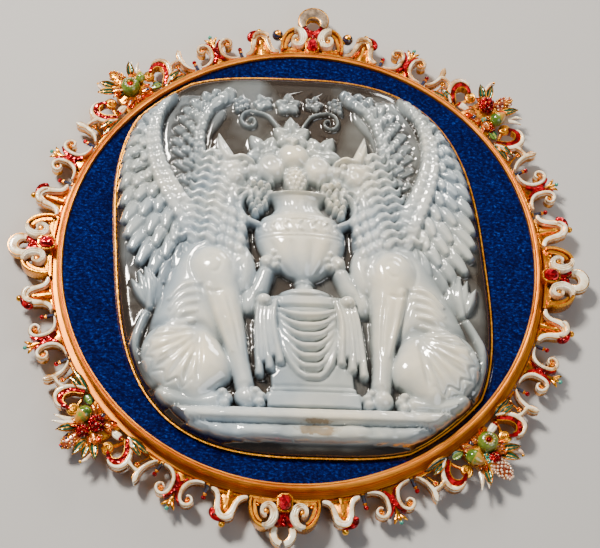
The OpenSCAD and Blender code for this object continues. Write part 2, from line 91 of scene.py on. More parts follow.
lights = {
    "key": {"place": (-0.34, 0.34, 0.62), "size": 0.16, "power": 13.2, "colour": (1.0, 0.93, 0.83)},
    "fill": {"place": (0.50, -0.42, 0.60), "size": 0.5, "power": 2.5, "colour": (0.90, 0.95, 1.0)},
    "glint": {"place": (0.22, 0.62, 0.30), "size": 0.2, "power": 2.2, "colour": (1.0, 0.97, 0.92)},
    "card": {"place": (0.03, 0.33, 0.70), "size": 0.5, "power": 0.34, "colour": (1.0, 0.88, 0.72)},
    "surround": {"colour": (0.80, 0.84, 0.90, 1), "strength": 0.11},
    "floor": {"size": 1.6, "below": 0.00005, "colour": (0.45, 0.44, 0.43, 1)},
}


def placeLights():
    for name in ("key", "fill", "glint", "card"):
        facts = lights[name]
        lamp = bpy.data.lights.new(name, "AREA")
        lamp.size = facts["size"]
        lamp.energy = facts["power"]
        lamp.color = facts["colour"]
        holder = linked(name, lamp)
        holder.location = facts["place"]
        holder.rotation_euler = Vector(facts["place"]).to_track_quat("Z", "Y").to_euler()
    world = bpy.data.worlds.new("surround")
    world.use_nodes = True
    air = world.node_tree.nodes["Background"]
    air.inputs["Color"].default_value = lights["surround"]["colour"]
    air.inputs["Strength"].default_value = lights["surround"]["strength"]
    bpy.context.scene.world = world


placeCamera()
placeLights()
print("camera and lights placed")

# Materials and node trees


def wire(tree, node, wires):
    # each socket is fed by another node's output, or set to a plain value
    for socket, value in wires.items():
        if isinstance(value, bpy.types.NodeSocket):
            tree.links.new(value, node.inputs[socket])
        else:
            node.inputs[socket].default_value = value
    return node.outputs


def addNode(tree, kind, wires={}, **settings):
    node = tree.nodes.new(kind)
    for name, value in settings.items():
        setattr(node, name, value)
    return wire(tree, node, wires)


class Finish:
    # a material whose patterns read Object coordinates, which are metres in the part's own frame
    def __init__(self, name, settings):
        self.material = bpy.data.materials.new(name)
        self.material.use_nodes = True
        self.tree = self.material.node_tree
        self.shader = self.tree.nodes["Principled BSDF"]
        wire(self.tree, self.shader, settings)

    def place(self, stretch=(1, 1, 1)):
        where = addNode(self.tree, "ShaderNodeTexCoord")["Object"]
        return addNode(self.tree, "ShaderNodeMapping", {"Vector": where, "Scale": stretch})["Vector"]

    def apart(self):
        return addNode(self.tree, "ShaderNodeSeparateXYZ", {"Vector": self.place()})

    def noise(self, scale, detail=3, roughness=0.6, stretch=(1, 1, 1)):
        return addNode(self.tree, "ShaderNodeTexNoise", {
            "Vector": self.place(stretch), "Scale": scale, "Detail": detail, "Roughness": roughness})["Fac"]

    def cells(self, scale, output="Distance"):
        return addNode(self.tree, "ShaderNodeTexVoronoi", {"Vector": self.place(), "Scale": scale})[output]

    def math(self, operation, *values):
        return addNode(self.tree, "ShaderNodeMath", dict(enumerate(values)), operation=operation)[0]

    def mapped(self, value, fromLow, fromHigh, low=0, high=1):
        ends = {"From Min": fromLow, "From Max": fromHigh, "To Min": low, "To Max": high}
        return addNode(self.tree, "ShaderNodeMapRange", {"Value": value, **ends})["Result"]

    def uneven(self, noise, low, high):
        return self.mapped(noise, 0.3, 0.7, low, high)  # where nearly all of a noise lies

    def ramp(self, value, stops):
        node = self.tree.nodes.new("ShaderNodeValToRGB")
        elements = node.color_ramp.elements
        while len(elements) < len(stops):
            elements.new(0.5)
        for element, (at, colour) in zip(elements, stops):
            element.position = at
            element.color = (*colour, 1)
        return wire(self.tree, node, {"Fac": value})["Color"]

    def multiplied(self, tone, *others):
        for other in others:
            tone = addNode(self.tree, "ShaderNodeMix", {"Factor": 1, "A": tone, "B": other},
                           data_type="RGBA", blend_type="MULTIPLY")["Result"]
        return tone

    def dressed(self, tone, roughness, bump, depth):
        bumped = addNode(self.tree, "ShaderNodeBump", {"Height": bump, "Distance": depth, "Strength": 1})
        wire(self.tree, self.shader, {"Base Color": tone, "Normal": bumped["Normal"]})
        if roughness is not None:
            wire(self.tree, self.shader, {"Roughness": roughness})
        return self.material


def makeGold(name, light, dark, roughness):
    gold = Finish(name, {"Metallic": 1})
    tone = gold.ramp(gold.noise(260, 4), [(0.3, dark), (0.62, light)])
    worn = gold.uneven(gold.noise(900), roughness - 0.08, roughness + 0.12)
    return gold.dressed(tone, worn, gold.noise(1500), 0.00003)


def makeSpunGold():
    # the rim keeps the fine rings of its turning
    gold = Finish("spunGold", {"Metallic": 1})
    x, y, z = gold.apart()
    flat = addNode(gold.tree, "ShaderNodeCombineXYZ", {"X": x, "Y": y})[0]
    reach = addNode(gold.tree, "ShaderNodeVectorMath", {0: flat}, operation="LENGTH")["Value"]
    wander = gold.math("ADD", reach, gold.uneven(gold.noise(60), -0.0004, 0.0004))
    place = addNode(gold.tree, "ShaderNodeCombineXYZ", {"X": wander, "Y": z})[0]
    rings = addNode(gold.tree, "ShaderNodeTexNoise", {"Vector": place, "Scale": 2600, "Detail": 2},
                    noise_dimensions="2D")["Fac"]
    tone = gold.ramp(gold.noise(90, 4, 0.65), [(0.3, (0.66, 0.18, 0.02)), (0.62, (0.94, 0.37, 0.04))])
    streaks = gold.ramp(rings, [(0.35, (0.72, 0.70, 0.66)), (0.6, (1, 1, 1))])
    return gold.dressed(gold.multiplied(tone, streaks), gold.uneven(rings, 0.38, 0.52), rings, 0.00003)


def makeEnamel(name, tones, scale=600, roughness=0.14, coat=0.8, metallic=0.0, dimple=0.00003):
    enamel = Finish(name, {"Metallic": metallic, "Coat Weight": coat, "Coat Roughness": 0.06, "IOR": 1.55})
    worn = enamel.uneven(enamel.noise(scale * 1.7), roughness - 0.06, roughness + 0.14)
    return enamel.dressed(enamel.ramp(enamel.noise(scale), tones), worn,
                          enamel.noise(scale * 2.5, 3, 0.5), dimple)


def makeWhite():
    # the enamel is browner near the top, partly as wear and partly as painted shade where the top lies in
    # less light, but not beside the hanging loop
    white = Finish("whiteEnamel", {"Coat Weight": 0.8, "Coat Roughness": 0.06, "IOR": 1.55})
    baseTone = white.ramp(white.noise(420), [(0.3, (0.42, 0.20, 0.06)), (0.4, (0.80, 0.60, 0.36)),
                                          (0.52, (0.93, 0.83, 0.62)), (0.66, (0.98, 0.92, 0.77))])
    x, y, _ = white.apart()
    beside = white.mapped(white.math("ABSOLUTE", x), 0.006, 0.01)
    top = white.math("MULTIPLY", white.mapped(y, 0.045, 0.07), beside)
    share = white.math("MULTIPLY", top, white.mapped(white.noise(260, 4, 0.65), 0.38, 0.62))
    # painted shade and wear: the white turns brown towards the top of the pendant
    worn = white.ramp(share, [(0, (1, 1, 1)), (0.4, (0.66, 0.48, 0.32)), (1, (0.30, 0.18, 0.09))])
    return white.dressed(white.multiplied(baseTone, worn), white.uneven(white.noise(700), 0.14, 0.34),
                         white.noise(1050, 3, 0.5), 0.00003)


def makeSparkling(name, tones, size, metallic, roughness):
    # clear red over cut foil: each facet of the pattern catches the light in its own way
    red = Finish(name, {"Metallic": metallic, "Coat Weight": 0.2, "Coat Roughness": 0.03,
                        "Roughness": roughness, "IOR": 1.45, "Specular IOR Level": 0.3})
    return red.dressed(red.ramp(red.cells(size, "Color"), tones), None, red.cells(size), 0.00016)


def makeOnyx():
    onyx = Finish("onyx", {"IOR": 1.54, "Specular IOR Level": 0.7, "Coat Weight": 0.9, "Coat Roughness": 0.02,
                           "Subsurface Weight": 0.2, "Subsurface Radius": (0.9, 0.95, 1.0),
                           "Subsurface Scale": 0.0012})
    level = onyx.math("ADD", onyx.apart()["Z"], onyx.uneven(onyx.noise(55, 3, 0.5), -0.0008, 0.0007))
    layers = onyx.ramp(onyx.mapped(level, 0.0094, 0.0164), [
        (0, (0.030, 0.020, 0.014)), (0.04, (0.034, 0.025, 0.018)), (0.13, (0.11, 0.115, 0.12)),
        (0.27, (0.26, 0.30, 0.33)), (0.47, (0.46, 0.51, 0.54)), (0.66, (0.68, 0.685, 0.655)),
        (0.88, (0.90, 0.84, 0.705))])
    cloud = onyx.ramp(onyx.noise(110, 4), [(0.35, (0.84, 0.86, 0.88)), (0.65, (1.0, 0.99, 0.96))])
    milk = onyx.ramp(onyx.noise(38, 2, 0.5), [(0.36, (0.88, 0.94, 1.0)), (0.6, (1.0, 0.955, 0.86))])
    # a small brown spot in the plinth
    away = addNode(onyx.tree, "ShaderNodeVectorMath", {
        0: onyx.place((0.32, 1, 0.9)), 1: (0.0022, -0.0486, 0.0124)}, operation="DISTANCE")["Value"]
    ragged = onyx.math("ADD", away, onyx.uneven(onyx.noise(400), -0.0005, 0.0005))
    spot = onyx.ramp(onyx.mapped(ragged, 0.0009, 0.0022), [
        (0, (0.54, 0.46, 0.38)), (0.6, (0.60, 0.46, 0.33)), (1, (1, 1, 1))])
    return onyx.dressed(onyx.multiplied(layers, cloud, milk, spot),
                        onyx.uneven(onyx.noise(300, 3, 0.5), 0.06, 0.15), onyx.noise(700, 2, 0.5), 0.00002)


def makeBlue():
    # cobalt over a cut ground whose fine waves show through
    blue = Finish("cobaltEnamel", {"Specular IOR Level": 0, "Coat Weight": 0.22, "Coat Roughness": 0.06,
                                   "Roughness": 0.5, "IOR": 1.5})
    waves = blue.noise(1100, 5, 0.75, (1, 1.5, 1))
    deep = blue.ramp(waves, [(0.35, (0, 0.0008, 0.018)), (0.5, (0, 0.0028, 0.056)),
                             (0.6, (0.001, 0.014, 0.155)), (0.72, (0.018, 0.09, 0.43))])
    strokes = addNode(blue.tree, "ShaderNodeTexWave", {
        "Vector": blue.place(), "Scale": 230, "Distortion": 8, "Detail": 3,
        "Detail Scale": 2}, bands_direction="DIAGONAL")["Fac"]
    cut = blue.ramp(strokes, [(0.2, (0.55, 0.6, 0.72)), (0.85, (1, 1, 1))])
    broad = blue.ramp(blue.noise(140), [(0.35, (0.62, 0.66, 0.74)), (0.65, (1, 1, 1))])
    return blue.dressed(blue.multiplied(deep, cut, broad), None, waves, 0.00025)


# the tones of each enamel from dark to light, and how it differs from a plain one
enamels = {
    # the hanging loop's enamel: dark brown, partly wear and partly painted shade on the loop at the top
    "agedEnamel": ([(0.35, (0.05, 0.028, 0.012)), (0.5, (0.15, 0.09, 0.045)), (0.66, (0.30, 0.20, 0.11))],
                   {"scale": 700, "roughness": 0.4, "coat": 0.2, "dimple": 0.00006}),
    "brownRed": ([(0.35, (0.12, 0.003, 0.001)), (0.65, (0.38, 0.012, 0.005))],
                 {"scale": 500, "coat": 1, "metallic": 0.35}),
    "leafGreen": ([(0.35, (0.002, 0.03, 0.014)), (0.65, (0.008, 0.11, 0.05))], {"coat": 1, "metallic": 0.4}),
    "fruitGreen": ([(0.33, (0.03, 0.08, 0.006)), (0.5, (0.10, 0.17, 0.015)), (0.68, (0.28, 0.32, 0.05))],
                   {"scale": 320}),
    "fruitOrange": ([(0.33, (0.22, 0.20, 0.015)), (0.5, (0.52, 0.20, 0.015)), (0.68, (0.72, 0.26, 0.03))],
                    {"scale": 320}),
    "fruitBlend": ([(0.4, (0.16, 0.27, 0.03)), (0.5, (0.42, 0.26, 0.02)), (0.6, (0.62, 0.27, 0.03))],
                   {"scale": 700}),
    "coral": ([(0.33, (0.16, 0.015, 0.004)), (0.5, (0.34, 0.06, 0.01)), (0.68, (0.52, 0.17, 0.03))],
              {"scale": 420, "coat": 1, "metallic": 0.3}),
    "teal": ([(0.35, (0.01, 0.12, 0.09)), (0.65, (0.06, 0.42, 0.30))], {"roughness": 0.12}),
    "nightBlue": ([(0.35, (0.003, 0.004, 0.012)), (0.65, (0.012, 0.02, 0.07))],
                  {"roughness": 0.08, "coat": 1, "dimple": 0.00001}),
    "seed": ([(0.35, (0.55, 0.30, 0.18)), (0.55, (0.85, 0.62, 0.42)), (0.7, (0.92, 0.84, 0.72))],
             {"scale": 900, "roughness": 0.22}),
}
materials = {name: makeEnamel(name, tones, **more) for name, (tones, more) in enamels.items()}
materials.update({
    "gold": makeGold("gold", (0.98, 0.43, 0.035), (0.72, 0.23, 0.012), 0.27),
    "paleGold": makeGold("paleGold", (1.0, 0.50, 0.045), (0.82, 0.31, 0.018), 0.26),
    "redEnamel": makeSparkling("redEnamel", [(0.2, (0.10, 0, 0.001)), (0.55, (0.36, 0, 0.004)),
                                             (0.9, (0.78, 0, 0.015))], 1000, 0.6, 0.16),
    "ruby": makeSparkling("ruby", [(0.1, (0.10, 0, 0.002)), (0.5, (0.46, 0, 0.01)), (0.9, (0.95, 0, 0.035))],
                          900, 0.55, 0.1),
    "spunGold": makeSpunGold(), "whiteEnamel": makeWhite(), "onyx": makeOnyx(), "cobaltEnamel": makeBlue()})
finishOf = {material.name: key for key, material in materials.items()}
print(len(materials), "materials made")

# Shapes are gathered in piles, in millimetres, and made into meshes in metres.


def newPile():
    return {"verts": [], "faces": [], "finish": [], "count": 0}


def addShell(pile, verts, faces, finish):
    base = pile["count"]
    pile["verts"].append(np.asarray(verts, float))
    pile["faces"].extend(tuple(base + i for i in face) for face in faces)
    pile["finish"].extend([finish] * len(faces) if isinstance(finish, str) else finish)
    pile["count"] += len(verts)


def skin(low, high, around):
    # the faces between two rings of points that start at these numbers
    k = np.arange(around)
    after = np.roll(k, -1)
    return np.stack([low + k, low + after, high + after, high + k], -1).tolist()


def addRings(pile, rings, finish, closed=False):
    # a skin over rings of equal count: capped at its ends, or closed round on itself
    n, last = len(rings[0]), len(rings) - 1
    faces = []
    for i in range(last):
        faces += skin(i * n, (i + 1) * n, n)
    faces += skin(last * n, 0, n) if closed else [list(range(n))[::-1], list(range(last * n, last * n + n))]
    addShell(pile, np.vstack(rings), faces, finish)


def latheShell(profile, around):
    # a turned closed shape; its first and last rows lie on the axis
    a = np.arange(around) * 2 * math.pi / around
    rings = [np.c_[r * np.cos(a), r * np.sin(a), np.full(around, z)] for r, z in profile[1:-1]]
    verts = np.vstack([[[0, 0, profile[0][1]]], *rings, [[0, 0, profile[-1][1]]]])
    last = len(verts) - 1
    top = last - around
    faces = [(0, 1 + (i + 1) % around, 1 + i) for i in range(around)]
    for low in range(1, top, around):
        faces += skin(low, low + around, around)
    return verts, faces + [(last, top + i, top + (i + 1) % around) for i in range(around)]


def gridFaces(rows, columns):
    # the faces of a grid of points, and the numbers of the points round its edge
    index = np.arange(rows * columns).reshape(rows, columns)
    quads = np.stack([index[:-1, :-1], index[:-1, 1:], index[1:, 1:], index[1:, :-1]], -1).reshape(-1, 4)
    return quads, np.r_[index[0, :-1], index[:-1, -1], index[-1, :0:-1], index[:0:-1, 0]]


def aimed(verts, place, turn=0, tilt=0, lean=0):
    # tilt swings the shape's height towards +X, then it is turned about Z
    spin = Matrix.Identity(3)
    for angle, axis in ((turn, "Z"), (tilt, "Y"), (lean, "X")):
        spin = spin @ Matrix.Rotation(math.radians(angle), 3, axis)
    return np.asarray(verts, float) @ np.array(spin).T + np.array(place)


def meshOf(name, pile, sharp=38, recalculate=True):
    mesh = bpy.data.meshes.new(name)
    mesh.from_pydata((np.vstack(pile["verts"]) * mm).tolist(), [], pile["faces"])
    used = sorted(set(pile["finish"]))
    for finish in used:
        mesh.materials.append(materials[finish])
    mesh.polygons.foreach_set("material_index", [used.index(f) for f in pile["finish"]])
    mesh.polygons.foreach_set("use_smooth", [True] * len(mesh.polygons))
    if recalculate:
        work = bmesh.new()
        work.from_mesh(mesh)
        bmesh.ops.recalc_face_normals(work, faces=work.faces)
        work.to_mesh(mesh)
        work.free()
    mesh.set_sharp_from_angle(angle=math.radians(sharp))
    mesh.update()
    return mesh


def showPiece(name, mesh, node):
    piece = linked(name, mesh)
    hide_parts(node)
    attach(piece, "root")
    return piece


def finished(source):
    # the object's mesh with its modifiers applied
    graph = bpy.context.evaluated_depsgraph_get()
    return bpy.data.meshes.new_from_object(source.evaluated_get(graph), depsgraph=graph)


def between(a, b, t):
    return a + (b - a) * t


def circled(x, y, radius, turns, *more):
    # rows on a circle, at these turns in radians
    return [(x + radius * math.cos(a), y + radius * math.sin(a), *more) for a in turns]


def smoothRows(rows, steps=6):
    p = np.array(rows, float)
    p = np.vstack([2 * p[0] - p[1], p, 2 * p[-1] - p[-2]])
    out = []
    for i in range(1, len(p) - 2):
        a, b, c, d = p[i - 1:i + 3]
        for t in np.arange(steps) / steps:
            out.append(0.5 * (2 * b + (c - a) * t + (2 * a - 5 * b + 4 * c - d) * t ** 2
                              + (3 * b - a - 3 * c + d) * t ** 3))
    return np.array([*out, p[-2]])


# Geometry Nodes trees: one sweeps a strap along its paths, the other sets beads on points


def newTree(name, inputs):
    tree = bpy.data.node_groups.new(name, "GeometryNodeTree")
    tree.interface.new_socket(name="Geometry", in_out="OUTPUT", socket_type="NodeSocketGeometry")
    for label, kind in (("Geometry", "Geometry"), *inputs.items()):
        tree.interface.new_socket(name=label, in_out="INPUT", socket_type="NodeSocket" + kind)
    return tree, addNode(tree, "NodeGroupInput")


def strapTree():
    tree, given = newTree("strapTree", {
        "Section": "Object", "Low": "Float", "High": "Float", "Split": "Float", "Edge Low": "Float",
        "Edge High": "Float", "Metal": "Material", "Enamel": "Material"})
    x, y, _ = addNode(tree, "ShaderNodeSeparateXYZ", {0: addNode(tree, "GeometryNodeInputPosition")[0]})
    section = addNode(tree, "GeometryNodeObjectInfo", {"Object": given["Section"]})["Geometry"]
    keep = tree.nodes.new("GeometryNodeCaptureAttribute")
    keep.capture_items.new("FLOAT", "rise")
    kept, rise = list(wire(tree, keep, {"Geometry": section, 1: y}))[:2]
    level = addNode(tree, "GeometryNodeSetCurveNormal", {"Curve": given["Geometry"]}, mode="Z_UP")[0]
    wide = addNode(tree, "GeometryNodeInputRadius")[0]
    swept = addNode(tree, "GeometryNodeCurveToMesh", {
        "Curve": level, "Profile Curve": kept, "Scale": wide, "Fill Caps": True})[0]
    height = addNode(tree, "ShaderNodeMapRange", {
        "Value": rise, "To Min": given["Low"], "To Max": given["High"]})[0]
    place = addNode(tree, "ShaderNodeCombineXYZ", {"X": x, "Y": y, "Z": height})[0]
    strap = addNode(tree, "GeometryNodeSetPosition", {"Geometry": swept, "Position": place})[0]
    front, over, under = (
        addNode(tree, "FunctionNodeCompare", {0: rise, 1: given[limit]}, operation=way + "_THAN")[0]
        for limit, way in (("Split", "GREATER"), ("Edge Low", "GREATER"), ("Edge High", "LESS")))
    edge = addNode(tree, "FunctionNodeBooleanMath", {0: over, 1: under}, operation="AND")[0]
    for finish, chosen in (("Metal", True), ("Enamel", front), ("Metal", edge)):
        strap = addNode(tree, "GeometryNodeSetMaterial", {
            "Geometry": strap, "Selection": chosen, "Material": given[finish]})[0]
    whole = addNode(tree, "GeometryNodeRealizeInstances", {0: strap})[0]
    addNode(tree, "NodeGroupOutput", {0: whole})
    return tree


def beadTree():
    tree, given = newTree("beadTree", {"Fineness": "Int", "Finish": "Material"})
    bead = addNode(tree, "GeometryNodeMeshIcoSphere", {"Subdivisions": given["Fineness"]})["Mesh"]
    size = addNode(tree, "GeometryNodeInputNamedAttribute", {"Name": "size"}, data_type="FLOAT")[0]
    strewn = addNode(tree, "GeometryNodeInstanceOnPoints", {
        "Points": given["Geometry"], "Instance": bead, "Scale": size})[0]
    whole = addNode(tree, "GeometryNodeRealizeInstances", {0: strewn})[0]
    dressed = addNode(tree, "GeometryNodeSetMaterial", {"Geometry": whole, "Material": given["Finish"]})[0]
    addNode(tree, "NodeGroupOutput", {0: dressed})
    return tree


trees = {"strap": strapTree(), "beads": beadTree()}


def runTree(pile, source, tree, settings):
    modifier = source.modifiers.new("tree", "NODES")
    modifier.node_group = tree
    for item in tree.interface.items_tree:
        if item.in_out == "INPUT" and item.name in settings:
            modifier[item.identifier] = settings[item.name]
    mesh, data = finished(source), source.data
    names = [finishOf[m.name] if m else "" for m in mesh.materials]
    verts = np.zeros(len(mesh.vertices) * 3)
    mesh.vertices.foreach_get("co", verts)
    addShell(pile, verts.reshape(-1, 3), [tuple(p.vertices) for p in mesh.polygons],
             [names[p.material_index] for p in mesh.polygons])
    bpy.data.objects.remove(source)
    bpy.data.batch_remove([mesh, data])


def pathCurve(name, paths, closed=False):
    curve = bpy.data.curves.new(name, "CURVE")
    curve.dimensions = "3D"
    for rows in paths:
        spline = curve.splines.new("POLY")
        spline.points.add(len(rows) - 1)
        spline.use_cyclic_u = closed
        for point, (x, y, radius) in zip(spline.points, rows):
            point.co = (x, y, 0, 1)
            point.radius = radius
    return linked(name, curve)


def flutedTop(count):
    across = np.linspace(0.86, -0.86, count * 8 + 1)
    return [(x, 0.93 + 0.07 * abs(math.sin(math.pi * count * (x / 1.72 + 0.5))) ** 0.7) for x in across]


sectionRows = {
    # a strap with its gold foot and an enamelled front between two thin gold edges
    "enamelled": [(-0.86, 0), (0.86, 0), (1, 0.05), (1, 0.55), (1, 0.86), (0.92, 0.93), (0.74, 0.94),
                  (0.64, 0.96), (0.32, 1), (-0.32, 1), (-0.64, 0.96), (-0.74, 0.94), (-0.92, 0.93),
                  (-1, 0.86), (-1, 0.55), (-1, 0.05)],
    "fluted": [(-0.86, 0), (0.86, 0), (1, 0.05), (1, 0.5), (1, 0.86), *flutedTop(3),
               (-1, 0.86), (-1, 0.5), (-1, 0.05)],
    "band": [(-0.8, 0), (0.8, 0), (1, 0.06), (1, 0.94), (0.7, 1), (-0.7, 1), (-1, 0.94), (-1, 0.06)],
}
sections = {name: pathCurve("section", [[(x, y, 1) for x, y in rows]], True)
            for name, rows in sectionRows.items()}


def sweep(pile, paths, low, high, section="enamelled", finish=("gold", "whiteEnamel"), split=0.6,
          edge=(0.88, 0.945), closed=False, steps=6):
    source = pathCurve("paths", [smoothRows(rows, steps) if steps else rows for rows in paths], closed)
    runTree(pile, source, trees["strap"], {
        "Section": sections[section], "Low": float(low), "High": float(high), "Split": float(split),
        "Edge Low": float(edge[0]), "Edge High": float(edge[1]),
        "Metal": materials[finish[0]], "Enamel": materials[finish[1]]})


def band(pile, paths, low, high, finish="gold", foot=None, **more):
    sweep(pile, paths, low, high, "band", (foot or finish, finish), **more)


def beads(pile, rows, finish, fineness=3):
    mesh = bpy.data.meshes.new("points")
    mesh.from_pydata([row[:3] for row in rows], [], [])
    mesh.attributes.new("size", "FLOAT", "POINT").data.foreach_set("value", [row[3] for row in rows])
    runTree(pile, linked("points", mesh), trees["beads"], {
        "Fineness": fineness, "Finish": materials[finish]})


print("node trees made")

# The stone: its outline, and the relief as heights over its dark ground

stone = {"halfWidth": 47.9, "halfHeight": 54.2, "squareness": 3.1, "leanX": -0.132, "leanY": 0.036,
         "shiftX": 0.3, "shiftY": -0.2, "reach": 59.9, "girdleZ": 7.5, "groundZ": 9.8, "baseZ": 1.05,
         "edgeShare": 0.065, "reliefScale": 0.89, "across": 360, "up": 410, "edgeRings": 9,
         "faceLimit": 188000}


def leaning(x, y):
    return (x + stone["leanX"] * y + stone["shiftX"], y + stone["leanY"] * x + stone["shiftY"])


def stoneEdge(u, v, grow=0.0):
    n = stone["squareness"]
    k = (np.abs(u) ** n + np.abs(v) ** n) ** (1 / n)
    x, y = u * (stone["halfWidth"] + grow) / k, v * (stone["halfHeight"] + grow) / k
    cut = np.minimum(1, (stone["reach"] + grow) / np.hypot(*leaning(x, y)))
    return x * cut, y * cut


def stoneOutline(grow, count=480):
    a = np.arange(count) * 2 * math.pi / count
    return np.c_[leaning(*stoneEdge(np.cos(a), np.sin(a), grow))]


class Relief:
    # a grid of heights; forms are laid on it one over another, mirrored where side is -1
    cell, lowX, lowY, wide, high, floor = 0.25, -50.0, -56.0, 100, 112, 0.3

    def __init__(self):
        self.x, self.y = (low + np.arange(int(size / self.cell) + 1) * self.cell
                          for low, size in ((self.lowX, self.wide), (self.lowY, self.high)))
        self.gridX, self.gridY = np.meshgrid(self.x, self.y)
        self.h = np.zeros_like(self.gridX)
        self.side = 1

    def window(self, lowX, highX, lowY, highY):
        i0, i1 = (int(np.clip(round((v - self.lowX) / self.cell), 0, len(self.x))) for v in (lowX, highX))
        j0, j1 = (int(np.clip(round((v - self.lowY) / self.cell), 0, len(self.y))) for v in (lowY, highY))
        part = slice(j0, max(j1, j0 + 1)), slice(i0, max(i1, i0 + 1))
        return part, self.gridX[part], self.gridY[part]

    def lay(self, part, height, edge, groove=0.5, spread=0.7, blend=0.0):
        # a form is laid in front of the others, with a carved groove just outside its edge
        h = self.h[part]
        if groove:
            cut = groove * np.exp(-(np.clip(edge, 0, None) / spread) ** 2)
            h = np.where(h > self.floor, np.maximum(h - cut, self.floor), h)
        if blend:
            m = np.clip(0.5 + 0.5 * (height - h) / blend, 0, 1)
            top = h * (1 - m) + height * m + blend * m * (1 - m)
            h = np.where(edge < blend, np.maximum(h, np.where(edge < 0, top, np.maximum(h, height))), h)
        else:
            h = np.maximum(h, height)
        self.h[part] = h

    def field(self, rows, steps, pad):
        # for each point: how far out it is, the crest there, its place along the rows and its side of them
        c = smoothRows(rows, steps) if steps > 1 and len(rows) > 2 else np.array(rows, float)
        c[:, 0] *= self.side
        r = c[:, 2].max() + pad
        part, gridX, gridY = self.window(c[:, 0].min() - r, c[:, 0].max() + r, c[:, 1].min() - r,
                                         c[:, 1].max() + r)
        best = np.full(gridX.shape, 1e9)
        out = [np.zeros_like(gridX) for _ in range(4)]
        lengths = np.r_[0, np.cumsum(np.hypot(*np.diff(c[:, :2], axis=0).T))]
        for (ax, ay, ar, ac), (bx, by, br, bc), before in zip(c[:-1], c[1:], lengths):
            dx, dy = bx - ax, by - ay
            square = dx * dx + dy * dy + 1e-12
            s = np.clip(((gridX - ax) * dx + (gridY - ay) * dy) / square, 0, 1)
            ex, ey = gridX - ax - s * dx, gridY - ay - s * dy
            d, rad, length = np.hypot(ex, ey), ar + s * (br - ar), math.sqrt(square)
            near = d - rad < best
            best = np.where(near, d - rad, best)
            found = (d / np.maximum(rad, 1e-3), ac + s * (bc - ac), before + s * length,
                     (dx * ey - dy * ex) / length)
            for kept, value in zip(out, found):
                kept[near] = value[near]
        return part, best, out, lengths[-1]

    def domed(self, t, crest, base, shape, edge, part, extra=0, **laid):
        # a round-topped form, where t goes from 0 at its middle to 1 at its edge
        t1 = np.clip(t, 0, 1)
        height = base + (crest - base) * np.clip(1 - t1 ** shape, 0, 1) ** 0.5 + extra * t1
        self.lay(part, np.where(t < 1, height, -1.0), edge, **laid)

    def stroke(self, rows, steps=7, base=0.0, shape=2.0, tilt=0.0, **laid):
        part, edge, (t, crest, _, beside), _ = self.field(rows, steps, 1.5)
        self.domed(t, crest, base, shape, edge, part, tilt * self.side * np.sign(beside), **laid)

    def oval(self, x, y, rx, ry, crest, turn=0, base=0.0, shape=2.0, **laid):
        x, a, r = x * self.side, math.radians(turn * self.side), max(rx, ry) + 1.5
        part, gridX, gridY = self.window(x - r, x + r, y - r, y + r)
        dx, dy = gridX - x, gridY - y
        t = np.hypot((dx * math.cos(a) + dy * math.sin(a)) / rx, (-dx * math.sin(a) + dy * math.cos(a)) / ry)
        self.domed(t, crest, base, shape, (t - 1) * min(rx, ry), part, **laid)

    def line(self, rows, depth, width, steps=7):
        # a cut line that thins out at its ends
        full = [[r[0], r[1], width, depth * (r[2] if len(r) > 2 else 1)] for r in rows]
        part, _, (t, depthHere, along, _), total = self.field(full, steps, 2 * width)
        h = self.h[part]
        taper = np.clip(np.minimum(along, total - along) / (0.18 * total), 0.15, 1)
        cut = np.maximum(h - depthHere * taper * np.exp(-1.4 * t ** 2), self.floor)
        self.h[part] = np.where(h > self.floor + 0.1, cut, h)


def toward(first, second, t):
    return [between(a, b, t) for a, b in zip(first, second)]


def feather(relief, root, bend, tip, width, crest, base):
    rows = []
    for t in np.linspace(0, 1, 8):
        x, y = toward(toward(root, bend, t), toward(bend, tip, t), t)
        rows.append([x, y, width * (0.7 + 0.3 * math.sin(math.pi * t)) * (1 if t < 0.95 else 0.8), crest])
    relief.stroke(rows, 2, base, 3.4, 0.22, groove=0.55, spread=0.45)
    relief.line([r[:2] for r in rows[1:-1]], 0.3, 0.24, steps=2)


def wing(relief, arm, tips, counts, crest, base, width):
    # long feathers first, then two rows of shorter ones over their roots, then the arm
    a, ends = smoothRows(arm, 8), smoothRows(tips, 8)
    for row, (count, reach, share, lift) in enumerate(zip(counts, (1, 0.66, 0.4), (1, 0.88, 0.78),
                                                          (0, 0.65, 1.2))):
        for f in np.linspace(0, 1, count):
            k = int(between(0.08, 0.9 - 0.04 * row, f) * (len(a) - 1))
            root, out = a[k][:2], a[min(k + 6, len(a) - 1)]
            tip = toward(root, ends[int(round(f * (len(ends) - 1)))], reach)
            bend = [between(out[0], tip[0], 0.45), between(out[1], tip[1], 0.35) - reach]
            feather(relief, root, bend, tip, width * share, crest + lift + 0.3 * f, base)
    relief.stroke(arm, base=0.5, groove=0.4)
    for f in np.linspace(0.1, 0.9, 22):  # scales on the arm
        x, y, w, c = a[int(f * (len(a) - 1))]
        for k in (-0.45, 0.35):
            relief.oval(x + k * w, y + 0.6 * k, 0.36 * w + 0.5, 0.5 * w + 0.4, c + 0.15, 20, c - 0.9,
                        groove=0.15, spread=0.3)


cloth = {"gather": (-24.8, -21.2), "valley": 1.0, "wide": 0.8, "hem": 0.7, "hemWide": 0.45,
         "ends": [(-38.6, -21.8), (-41.2, -26.2), (-41.6, -30.6), (-39.9, -34.6), (-36.6, -37.6),
                  (-32.6, -38.9), (-28.8, -38.2)]}


